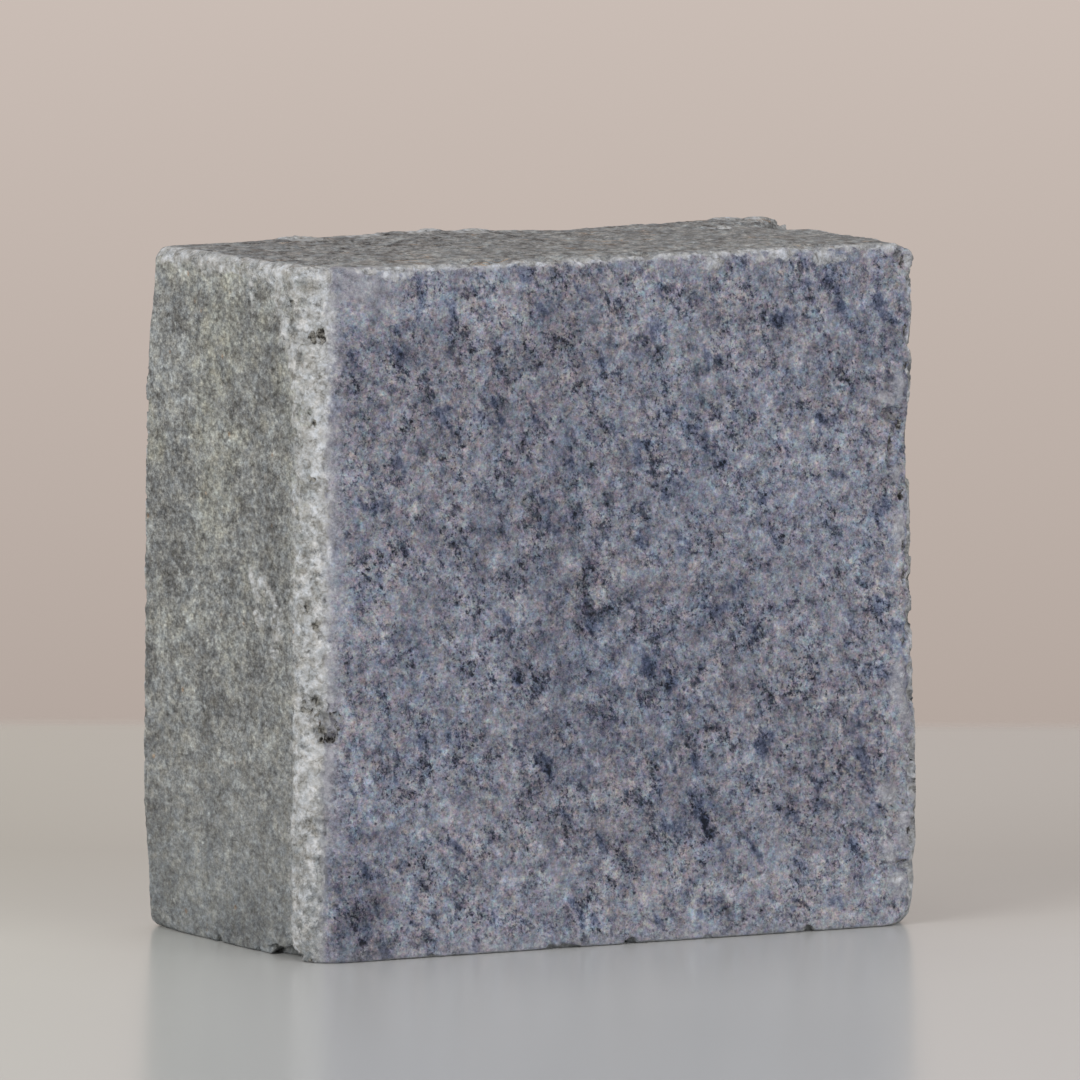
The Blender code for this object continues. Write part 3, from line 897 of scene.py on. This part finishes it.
def shades(levels, light):
    """Colour ramp stops: place is the sRGB grey level over 255, colour the stone's own with the given light divided
    out; any tint of the light left in the levels stays in as painted light.
    """
    stops = []
    for r, g, b in levels:
        place = (0.2126 * r + 0.7152 * g + 0.0722 * b) / 255
        stops.append((place, [min(0.95, c / light) for c in linear(r, g, b)]))
    return stops


def stone_material():
    material = bpy.data.materials.new("speckled_grey_stone")
    material.use_nodes = True
    tree = material.node_tree
    tree.nodes.clear()
    g = Graph(tree)
    out = g.node("ShaderNodeOutputMaterial")
    shader = g.node("ShaderNodeBsdfPrincipled")
    tree.links.new(shader.outputs[0], out.inputs[0])
    shader.inputs["Specular IOR Level"].default_value = 0.35

    place = g.node("ShaderNodeTexCoord").outputs["Object"]
    at = g.vector("SCALE", place, 1000.0)  # millimetres
    wobble = g.vector("SCALE", g.noise(at, 0.9, 2.0, 0.6, colour=True), 0.5)
    bent = g.vector("ADD", at, wobble)
    masks = g.node("ShaderNodeAttribute", attribute_name="wear_and_painted_shade")
    split = g.node("ShaderNodeSeparateColor")
    tree.links.new(masks.outputs["Color"], split.inputs[0])
    white, brown_and_painted_shade, calm = split.outputs[0], split.outputs[1], split.outputs[2]
    side = masks.outputs["Alpha"]

    # grey level of the speckle, as a fraction of sRGB white: a lilac ground, dark spots that gather
    # in clusters, and black pinpricks
    split_at = g.node("ShaderNodeSeparateXYZ")
    tree.links.new(at, split_at.inputs[0])
    up = split_at.outputs[2]
    grain = g.noise(bent, 0.45, 5.0, 0.88)
    fine = g.noise(at, 2.1, 2.0, 0.9)
    blotch = g.noise(at, 0.10, 3.0, 0.6)
    crowd = g.remap(g.noise(g.vector("ADD", at, (5.0, 9.0, 2.0)), 0.23, 2.0, 0.55), 0.34, 0.66, 0.35, 1.45)
    # the dark grains string out a little along one slanting direction
    string = (0.52, 0.0, -0.85)
    along = g.node("ShaderNodeVectorMath", operation="DOT_PRODUCT")
    g.put(along.inputs[0], bent)
    along.inputs[1].default_value = string
    strung = g.node("ShaderNodeVectorMath", operation="MULTIPLY_ADD")
    strung.inputs[0].default_value = [-0.38 * c for c in string]
    g.put(strung.inputs[1], along.outputs["Value"])
    g.put(strung.inputs[2], bent)
    strung = strung.outputs[0]
    spots = g.remap(g.noise(strung, 0.80, 4.0, 0.80), 0.515, 0.635)
    dots = g.remap(g.noise(g.vector("ADD", bent, (17.0, 3.0, 41.0)), 1.55, 2.0, 0.8), 0.535, 0.66)
    pricks = g.remap(g.noise(g.vector("ADD", at, (7.0, 71.0, 19.0)), 2.5, 1.0, 0.7), 0.600, 0.685)
    smudge = g.remap(g.noise(g.vector("ADD", strung, (61.0, 13.0, 29.0)), 0.34, 3.0, 0.62), 0.590, 0.680)
    fleece = g.remap(g.noise(g.vector("ADD", bent, (2.0, 37.0, 53.0)), 0.50, 4.0, 0.74), 0.520, 0.680)
    spot_far, spot_mark = g.cell(bent, 1.25)
    spot_pick = g.node("ShaderNodeSeparateColor")
    tree.links.new(spot_mark, spot_pick.inputs[0])
    speck = g.math(
        "MULTIPLY",
        g.remap(spot_far, 0.12, 0.27, 1.0, 0.0, smooth=True),
        g.remap(spot_pick.outputs[0], 0.74, 0.82),
    )
    spotted = g.math("MULTIPLY_ADD", dots, 0.12, g.math("MULTIPLY", spots, 0.20))
    spotted = g.math("MULTIPLY_ADD", pricks, 0.17, spotted)
    spotted = g.math("MULTIPLY", spotted, crowd)
    spotted = g.math("MULTIPLY_ADD", smudge, 0.15, spotted)
    level = g.math("MULTIPLY_ADD", g.math("SUBTRACT", grain, 0.5), 0.84, 0.490)
    level = g.math("MULTIPLY_ADD", g.math("SUBTRACT", fine, 0.5), 0.36, level)
    level = g.math("MULTIPLY_ADD", g.math("SUBTRACT", blotch, 0.5), 0.22, level)
    level = g.math("MULTIPLY_ADD", fleece, 0.105, level)
    level = g.math("SUBTRACT", level, spotted)
    level = g.math("MULTIPLY_ADD", g.math("MULTIPLY", speck, crowd), -0.18, level)
    tone = g.node("ShaderNodeAttribute", attribute_name="tone").outputs["Fac"]
    level = g.math("ADD", level, tone)

    # the bluer cast of these front and back colours is partly the faces' own finish and partly painted cool light
    # falling on the front
    big_faces_with_painted_cool_cast = g.ramp(
        level,
        shades(
            (
                (22, 26, 34),
                (57, 61, 74),
                (79, 82, 94),
                (97, 99, 111),
                (110, 112, 123),
                (120, 122, 132),
                (130, 132, 142),
                (141, 143, 152),
                (151, 154, 162),
                (186, 189, 194),
            ),
            LIGHT_ON_FRONT,
        ),
    )
    hue = g.noise(g.vector("ADD", at, (31.0, 7.0, 3.0)), 0.92, 4.0, 0.88)
    warm = g.remap(hue, 0.32, 0.68, 0.0, 1.0)
    cast = g.noise(g.vector("ADD", at, (11.0, 57.0, 23.0)), 1.7, 2.0, 0.85)
    green = g.remap(cast, 0.32, 0.68, 0.0, 1.0)
    cool = g.mix(green, (0.80, 0.905, 1.19), (0.73, 1.055, 1.09))
    mild = g.mix(green, (1.25, 0.905, 0.91), (1.165, 1.055, 0.80))
    tint = g.mix(warm, cool, mild)
    tint = g.mix(g.math("MULTIPLY", smudge, 0.65), tint, (0.80, 0.955, 1.24))
    broad_hue = g.remap(g.noise(g.vector("ADD", at, (90.0, 41.0, 15.0)), 0.055, 2.0, 0.6), 0.36, 0.64)
    tinted = g.node("ShaderNodeMix", data_type="RGBA", blend_type="MULTIPLY")
    tinted.inputs[0].default_value = 1.0
    g.put(tinted.inputs[6], tint)
    g.put(tinted.inputs[7], g.mix(broad_hue, (0.975, 1.0, 1.025), (1.025, 1.0, 0.975)))
    tint = tinted.outputs[2]
    tinted = g.node("ShaderNodeMix", data_type="RGBA", blend_type="MULTIPLY")
    tinted.inputs[0].default_value = 1.0
    g.put(tinted.inputs[6], big_faces_with_painted_cool_cast)
    g.put(tinted.inputs[7], tint)
    big_faces_with_painted_cool_cast = tinted.outputs[2]

    # the ends are a plainer, slightly green grey; next to the bluer front and back this is partly their own colour and
    # partly painted light, cooler on the front; their grain is weaker towards the base
    loud = g.remap(up, 6.0, 32.0, 0.66, 1.0)
    pulled = g.vector("MULTIPLY", bent, (1.0, 0.60, 0.80))  # small upright flakes
    grain_end = g.noise(pulled, 0.50, 5.0, 0.86)
    fine_end = g.noise(g.vector("MULTIPLY", at, (1.0, 0.55, 0.85)), 2.1, 2.0, 0.9)
    pits_end = g.remap(g.noise(g.vector("ADD", pulled, (19.0, 5.0, 3.0)), 1.0, 3.0, 0.75), 0.575, 0.68)
    flakes_end = g.remap(g.noise(g.vector("ADD", pulled, (4.0, 47.0, 33.0)), 0.85, 3.0, 0.75), 0.575, 0.67)
    soft_side = g.math("MULTIPLY", g.math("SUBTRACT", grain_end, 0.5), 0.80)
    soft_side = g.math("MULTIPLY_ADD", g.math("SUBTRACT", fine_end, 0.5), 0.80, soft_side)
    soft_side = g.math("MULTIPLY_ADD", pits_end, -0.11, soft_side)
    soft_side = g.math("MULTIPLY_ADD", flakes_end, 0.10, soft_side)
    level_side = g.math("MULTIPLY_ADD", soft_side, loud, 0.512)
    level_side = g.math("ADD", level_side, tone)
    drift = g.noise(g.vector("ADD", at, (3.0, 21.0, 8.0)), 0.13, 4.0, 0.68)
    level_side = g.math("MULTIPLY_ADD", g.math("SUBTRACT", drift, 0.5), 0.30, level_side)
    glint_far, glint_mark = g.cell(g.vector("ADD", bent, (9.0, 1.0, 4.0)), 0.62)
    glint_pick = g.node("ShaderNodeSeparateColor")
    tree.links.new(glint_mark, glint_pick.inputs[0])
    glint = g.math(
        "MULTIPLY",
        g.remap(glint_far, 0.08, 0.17, 1.0, 0.0),
        g.remap(glint_pick.outputs[0], 0.86, 0.90),
    )
    level_side = g.math("MULTIPLY_ADD", glint, 0.20, level_side)

    # the top is coarser, with short dark cracks
    facing = g.node("ShaderNodeSeparateXYZ")
    tree.links.new(g.node("ShaderNodeNewGeometry").outputs["Normal"], facing.inputs[0])
    is_top = g.remap(facing.outputs[2], 0.55, 0.9)
    turned = g.node("ShaderNodeVectorRotate", rotation_type="Z_AXIS")
    turned.inputs["Angle"].default_value = math.radians(28)
    g.put(turned.inputs["Vector"], bent)
    turned = turned.outputs[0]
    flat = g.vector("MULTIPLY", turned, (1.15, 0.50, 1.0))
    broad = g.noise(flat, 0.66, 4.0, 0.82)
    fine_top = g.noise(g.vector("MULTIPLY", turned, (1.10, 0.46, 1.0)), 1.55, 2.0, 0.85)
    level_top = g.math("MULTIPLY_ADD", g.math("SUBTRACT", broad, 0.5), 0.95, 0.535)
    level_top = g.math("MULTIPLY_ADD", g.math("SUBTRACT", fine_top, 0.5), 0.50, level_top)
    rear = g.remap(g.math("MULTIPLY_ADD", split_at.outputs[0], -0.35, split_at.outputs[1]), -6.0, 14.0, 0.45, 1.0)
    marks = g.noise(g.vector("MULTIPLY", g.vector("ADD", turned, (3.0, 8.0, 1.0)), (0.78, 0.42, 1.0)), 0.86, 4.0, 0.80)
    level_top = g.math("MULTIPLY_ADD", g.math("MULTIPLY", g.remap(marks, 0.545, 0.63), rear), -0.34, level_top)
    crack = g.noise(g.vector("MULTIPLY", turned, (0.26, 0.55, 1.0)), 0.62, 4.0, 0.7)
    crack = g.remap(g.math("ABSOLUTE", g.math("SUBTRACT", crack, 0.47)), 0.0, 0.014, 1.0, 0.0)
    crack = g.math("MULTIPLY", crack, g.remap(g.noise(at, 0.30, 2.0, 0.5), 0.52, 0.60))
    level_top = g.math("MULTIPLY_ADD", crack, -0.20, level_top)
    level_top = g.math("ADD", level_top, tone)
    rust = g.noise(g.vector("MULTIPLY", g.vector("ADD", turned, (5.0, 2.0, 9.0)), (0.20, 0.7, 1.0)), 0.50, 2.0, 0.6)
    rust = g.remap(g.math("ABSOLUTE", g.math("SUBTRACT", rust, 0.52)), 0.004, 0.020, 1.0, 0.0)
    rust = g.math("MULTIPLY", rust, g.remap(g.noise(g.vector("ADD", at, (1.0, 2.0, 3.0)), 0.16, 2.0, 0.5), 0.54, 0.64))
    rust = g.math("MULTIPLY", rust, is_top)
    level_side = g.math(
        "ADD",
        g.math("MULTIPLY", level_side, g.math("SUBTRACT", 1.0, is_top)),
        g.math("MULTIPLY", level_top, is_top),
    )
    ends = g.ramp(
        level_side,
        shades(
            (
                (40, 40, 40),
                (94, 93, 91),
                (106, 105, 104),
                (116, 116, 114),
                (126, 126, 124),
                (134, 134, 131),
                (144, 143, 141),
                (157, 157, 153),
                (176, 176, 172),
                (212, 212, 208),
            ),
            0.95,
        ),
    )
    olive = g.math(
        "MULTIPLY",
        g.remap(drift, 0.49, 0.66),
        g.math("MULTIPLY", g.remap(up, 15.0, 55.0), g.math("SUBTRACT", 1.0, is_top)),
    )
    low_tint = g.mix(g.remap(up, 14.0, 2.0), (0.975, 0.995, 1.020), (0.95, 0.998, 1.050))
    casts = g.mix(olive, low_tint, (1.01, 1.012, 0.945))
    freckle = g.math(
        "MULTIPLY",
        g.remap(glint_far, 0.10, 0.24, 1.0, 0.0),
        g.remap(glint_pick.outputs[1], 0.90, 0.93),
    )
    casts = g.mix(freckle, casts, (1.12, 0.86, 0.68))
    hue_end = g.remap(g.noise(g.vector("ADD", pulled, (13.0, 17.0, 71.0)), 0.9, 4.0, 0.8), 0.36, 0.64)
    hued = g.node("ShaderNodeMix", data_type="RGBA", blend_type="MULTIPLY")
    hued.inputs[0].default_value = 1.0
    g.put(hued.inputs[6], casts)
    g.put(hued.inputs[7], g.mix(hue_end, (0.945, 0.995, 1.065), (1.035, 1.01, 0.955)))
    hue_top = g.remap(g.noise(g.vector("ADD", flat, (3.0, 17.0, 71.0)), 0.9, 4.0, 0.84), 0.36, 0.64)
    casts = g.mix(is_top, hued.outputs[2], g.mix(hue_top, (0.895, 0.985, 1.095), (1.03, 0.985, 0.965)))
    casts = g.mix(rust, casts, (1.30, 0.93, 0.66))
    cast_ends = g.node("ShaderNodeMix", data_type="RGBA", blend_type="MULTIPLY")
    cast_ends.inputs[0].default_value = 1.0
    g.put(cast_ends.inputs[6], ends)
    g.put(cast_ends.inputs[7], casts)
    ends = cast_ends.outputs[2]
    # front and back against the ends: partly the faces' own colours, partly painted light, cooler on the front than on
    # the ends
    colour = g.mix(side, big_faces_with_painted_cool_cast, ends)

    # the smooth lilac grey that the speckle fades into beside the worn edge
    lilac = g.ramp(
        g.math("MULTIPLY_ADD", fine, 0.5, g.math("MULTIPLY", grain, 0.5)),
        (
            (0.34, [c / LIGHT_ON_FRONT for c in linear(122, 121, 128)]),
            (0.50, [c / LIGHT_ON_FRONT for c in linear(147, 147, 154)]),
            (0.66, [c / LIGHT_ON_FRONT for c in linear(172, 172, 178)]),
        ),
    )
    soft = g.remap(g.noise(bent, 0.8, 4.0, 0.75), 0.34, 0.66, -0.55, 0.55)
    calm = g.math("MULTIPLY", g.math("ADD", calm, g.math("MULTIPLY", soft, calm)), 0.80, clamp=True)
    colour = g.mix(calm, colour, lilac)

    # rubbed and crumbled stone shows whitish
    ends_at = g.vector("MULTIPLY", bent, (1.0, 0.62, 1.0))
    ragged = g.math(
        "MULTIPLY_ADD",
        g.math("SUBTRACT", g.noise(ends_at, 1.0, 5.0, 0.78), g.noise(bent, 0.85, 5.0, 0.78)),
        side,
        g.noise(bent, 0.85, 5.0, 0.78),
    )
    edge = g.remap(g.math("MULTIPLY_ADD", g.math("SUBTRACT", ragged, 0.5), 2.9, white), 0.34, 0.80)
    seam = g.noise(g.vector("ADD", bent, (23.0, 3.0, 67.0)), 0.42, 3.0, 0.62)
    seam = g.remap(g.math("ABSOLUTE", g.math("SUBTRACT", seam, 0.5)), 0.0, 0.034, 1.0, 0.0)
    worn = g.noise(bent, 0.75, 5.0, 0.74)
    worn = g.math("MULTIPLY_ADD", g.math("SUBTRACT", g.noise(ends_at, 0.88, 5.0, 0.74), worn), side, worn)
    worn = g.math("MULTIPLY_ADD", seam, -0.10, worn)
    pale = g.ramp(
        worn,
        (
            (0.30, [c / 0.93 for c in linear(112, 110, 105)]),
            (0.42, [c / 0.93 for c in linear(156, 155, 152)]),
            (0.53, [c / 0.93 for c in linear(188, 188, 188)]),
            (0.65, [c / 0.93 for c in linear(216, 216, 217)]),
        ),
    )
    # the pale wear is a little bluer on the front and back, partly as painted cool light
    pale_cast = g.node("ShaderNodeMix", data_type="RGBA", blend_type="MULTIPLY")
    pale_cast.inputs[0].default_value = 1.0
    g.put(pale_cast.inputs[6], pale)
    g.put(pale_cast.inputs[7], g.mix(side, (0.972, 0.993, 1.052), (0.982, 1.0, 1.025)))
    pale_hue = g.node("ShaderNodeMix", data_type="RGBA", blend_type="MULTIPLY")
    pale_hue.inputs[0].default_value = 1.0
    g.put(pale_hue.inputs[6], pale_cast.outputs[2])
    g.put(pale_hue.inputs[7], g.mix(hue_end, (0.965, 0.995, 1.035), (1.035, 1.0, 0.955)))
    colour = g.mix(edge, colour, pale_hue.outputs[2])

    # pockets and broken places are darker and a little brown: partly the broken stone's own colour, partly painted
    # shade in the hollows, down to near black
    murk_with_painted_shade = g.ramp(
        g.noise(bent, 1.5, 3.0, 0.75),
        (
            (0.40, linear(34, 33, 32)),
            (0.48, linear(88, 85, 80)),
            (0.58, linear(150, 148, 142)),
        ),
    )
    # the hollows, crevice bottoms and pits are painted dark here as shade
    hollow_painted_shade = g.remap(
        g.math("MULTIPLY_ADD", g.math("SUBTRACT", ragged, 0.5), -1.8, brown_and_painted_shade), 0.30, 0.62
    )
    # the murk is a little bluer on the front and back, partly as painted cool light
    murk_cast = g.node("ShaderNodeMix", data_type="RGBA", blend_type="MULTIPLY")
    murk_cast.inputs[0].default_value = 1.0
    g.put(murk_cast.inputs[6], murk_with_painted_shade)
    g.put(murk_cast.inputs[7], g.mix(side, (0.93, 0.95, 1.04), (1.0, 1.0, 1.0)))
    colour = g.mix(hollow_painted_shade, colour, murk_cast.outputs[2])
    g.put(shader.inputs["Base Color"], colour)

    rough = g.remap(fine, 0.3, 0.7, 0.66, 0.86)
    g.put(shader.inputs["Roughness"], rough)

    height = g.math("MULTIPLY_ADD", fine, 0.6, g.math("MULTIPLY", grain, 0.9))
    height = g.math("MULTIPLY_ADD", speck, -0.35, height)
    bump_node = g.node("ShaderNodeBump")
    bump_node.inputs["Strength"].default_value = 1.0
    bump_node.inputs["Distance"].default_value = 0.00012
    g.put(bump_node.inputs["Height"], height)
    g.put(shader.inputs["Normal"], bump_node.outputs[0])
    return material


# ----------------------------------------------------------------------------------------------
# Table, light and camera
# ----------------------------------------------------------------------------------------------

YAW = math.radians(27.76)
PITCH = math.radians(5.898)
ROLL = math.radians(0.198)
FAR_EDGE = 0.1957


def table_material():
    material = bpy.data.materials.new("satin_table")
    material.use_nodes = True
    tree = material.node_tree
    g = Graph(tree)
    shader = tree.nodes["Principled BSDF"]
    out = tree.nodes["Material Output"]
    place = g.node("ShaderNodeTexCoord").outputs["Object"]
    tone = g.noise(place, 9.0, 2.0, 0.5)
    away = g.node("ShaderNodeSeparateXYZ")
    tree.links.new(place, away.inputs[0])
    # painted reflection and light: the far part of the table is darker and warmer, standing for the beige wall's
    # reflection; the near part is paler, standing for brighter light
    sheet = g.ramp(
        g.remap(away.outputs[1], -0.12, 0.19),
        (
            (0.0, linear(212, 213, 213)),
            (0.35, linear(214, 214, 212)),
            (0.60, linear(196, 194, 189)),
            (1.0, linear(197, 193, 188)),
        ),
    )
    # painted light: the left part of the table is tinted a little yellower
    yellower_left_painted_light = g.node("ShaderNodeMix", data_type="RGBA", blend_type="MULTIPLY")
    g.put(yellower_left_painted_light.inputs[0], g.remap(away.outputs[0], -0.02, -0.07, smooth=True))
    g.put(yellower_left_painted_light.inputs[6], sheet)
    yellower_left_painted_light.inputs[7].default_value = (1.01, 1.03, 0.97, 1.0)
    g.put(shader.inputs["Base Color"], yellower_left_painted_light.outputs[2])
    g.put(shader.inputs["Roughness"], g.remap(tone, 0.3, 0.7, 0.20, 0.24))
    shader.inputs["IOR"].default_value = 1.34
    clear = g.node("ShaderNodeBsdfTransparent")
    split = g.node("ShaderNodeSeparateXYZ")
    tree.links.new(place, split.inputs[0])
    gone = g.remap(split.outputs[1], FAR_EDGE - 0.010, FAR_EDGE + 0.005, 0.0, 1.0, smooth=True)
    mix = g.node("ShaderNodeMixShader")
    g.put(mix.inputs[0], gone)
    tree.links.new(shader.outputs[0], mix.inputs[1])
    tree.links.new(clear.outputs[0], mix.inputs[2])
    tree.links.new(mix.outputs[0], out.inputs[0])
    return material


def make_table():
    """A flat table top, turned to face the camera. Its far edge is the line behind the stone."""
    xs, ys = (-0.42, 0.42), (-0.42, FAR_EDGE + 0.005)
    corners = [(xs[0], ys[0], 0), (xs[1], ys[0], 0), (xs[1], ys[1], 0), (xs[0], ys[1], 0)]
    mesh = bpy.data.meshes.new("table_top")
    mesh.from_pydata(corners, [], [(0, 1, 2, 3)])
    table = bpy.data.objects.new("table_top", mesh)
    table.rotation_euler = (0, 0, -YAW)
    table.location = (0, 0, -0.00002)
    bpy.context.scene.collection.objects.link(table)
    mesh.materials.append(table_material())


def make_world():
    world = bpy.data.worlds.new("studio")
    bpy.context.scene.world = world
    world.use_nodes = True
    tree = world.node_tree
    tree.nodes.clear()
    g = Graph(tree)
    out = g.node("ShaderNodeOutputWorld")
    split = g.node("ShaderNodeSeparateXYZ")
    tree.links.new(g.node("ShaderNodeTexCoord").outputs["Generated"], split.inputs[0])
    lift = g.remap(split.outputs[2], math.sin(math.radians(-6.8)), math.sin(math.radians(-3.9)))
    wall = g.ramp(
        lift,
        (
            (0.0, linear(178, 165, 157)),
            (0.35, linear(187, 174, 166)),
            (0.70, linear(195, 182, 174)),
            (1.0, linear(202, 189, 181)),
        ),
    )
    seen = g.node("ShaderNodeBackground")
    g.put(seen.inputs[0], wall)
    fill = g.node("ShaderNodeBackground")
    around = g.ramp(
        g.remap(split.outputs[2], -0.1, 1.0),
        ((0.0, (0.60, 0.59, 0.595)), (0.4, (0.50, 0.49, 0.495)), (1.0, (0.16, 0.16, 0.162))),
    )
    g.put(fill.inputs[0], around)
    fill.inputs[1].default_value = 1.0
    path = g.node("ShaderNodeLightPath")
    direct = g.math("MAXIMUM", path.outputs["Is Camera Ray"], path.outputs["Is Glossy Ray"])
    mix = g.node("ShaderNodeMixShader")
    g.put(mix.inputs[0], direct)
    tree.links.new(fill.outputs[0], mix.inputs[1])
    tree.links.new(seen.outputs[0], mix.inputs[2])
    tree.links.new(mix.outputs[0], out.inputs[0])


def softbox(name, place, width, height, watts, colour):
    data = bpy.data.lights.new(name, "AREA")
    data.shape = "RECTANGLE"
    data.size, data.size_y = width, height
    data.energy = watts
    data.color = colour
    lamp = bpy.data.objects.new(name, data)
    lamp.location = place
    lamp.rotation_euler = (Vector((0, 0, 0.035)) - Vector(place)).to_track_quat("-Z", "Y").to_euler()
    lamp.visible_camera = False
    lamp.visible_glossy = False
    bpy.context.scene.collection.objects.link(lamp)


def make_lights():
    softbox("soft_left", (-1.6, -0.45, 0.80), 1.1, 1.1, 17, (1.0, 0.995, 0.975))
    softbox("soft_front", (0.75, -2.0, 0.75), 1.3, 1.1, 16, (0.97, 0.985, 1.0))
    softbox("soft_top", (0.0, 0.35, 1.6), 1.2, 1.0, 4, (1.0, 1.0, 1.0))


def make_camera():
    sy, cy, sp, cp = math.sin(YAW), math.cos(YAW), math.sin(PITCH), math.cos(PITCH)
    forward = Vector((sy * cp, cy * cp, -sp))
    right = Vector((cy, -sy, 0))
    up = right.cross(forward)
    across = right * math.cos(ROLL) + up * math.sin(ROLL)
    upright = -right * math.sin(ROLL) + up * math.cos(ROLL)
    data = bpy.data.cameras.new("camera")
    data.sensor_width = 36
    data.lens = 533.333
    data.clip_start, data.clip_end = 0.05, 50
    camera = bpy.data.objects.new("camera", data)
    matrix = Matrix((across, upright, -forward)).transposed().to_4x4()
    matrix.translation = Vector((-812.175, -1543.3125, 222.705)) * MM
    camera.matrix_world = matrix
    bpy.context.scene.collection.objects.link(camera)
    bpy.context.scene.camera = camera


# ----------------------------------------------------------------------------------------------

scene = bpy.context.scene
scene.view_settings.view_transform = "Standard"
scene.view_settings.look = "None"

make_camera()
make_world()
make_lights()
make_table()

stone = make_stone()
stone.data.materials.append(stone_material())
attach(stone, "root")
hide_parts("stone_block")
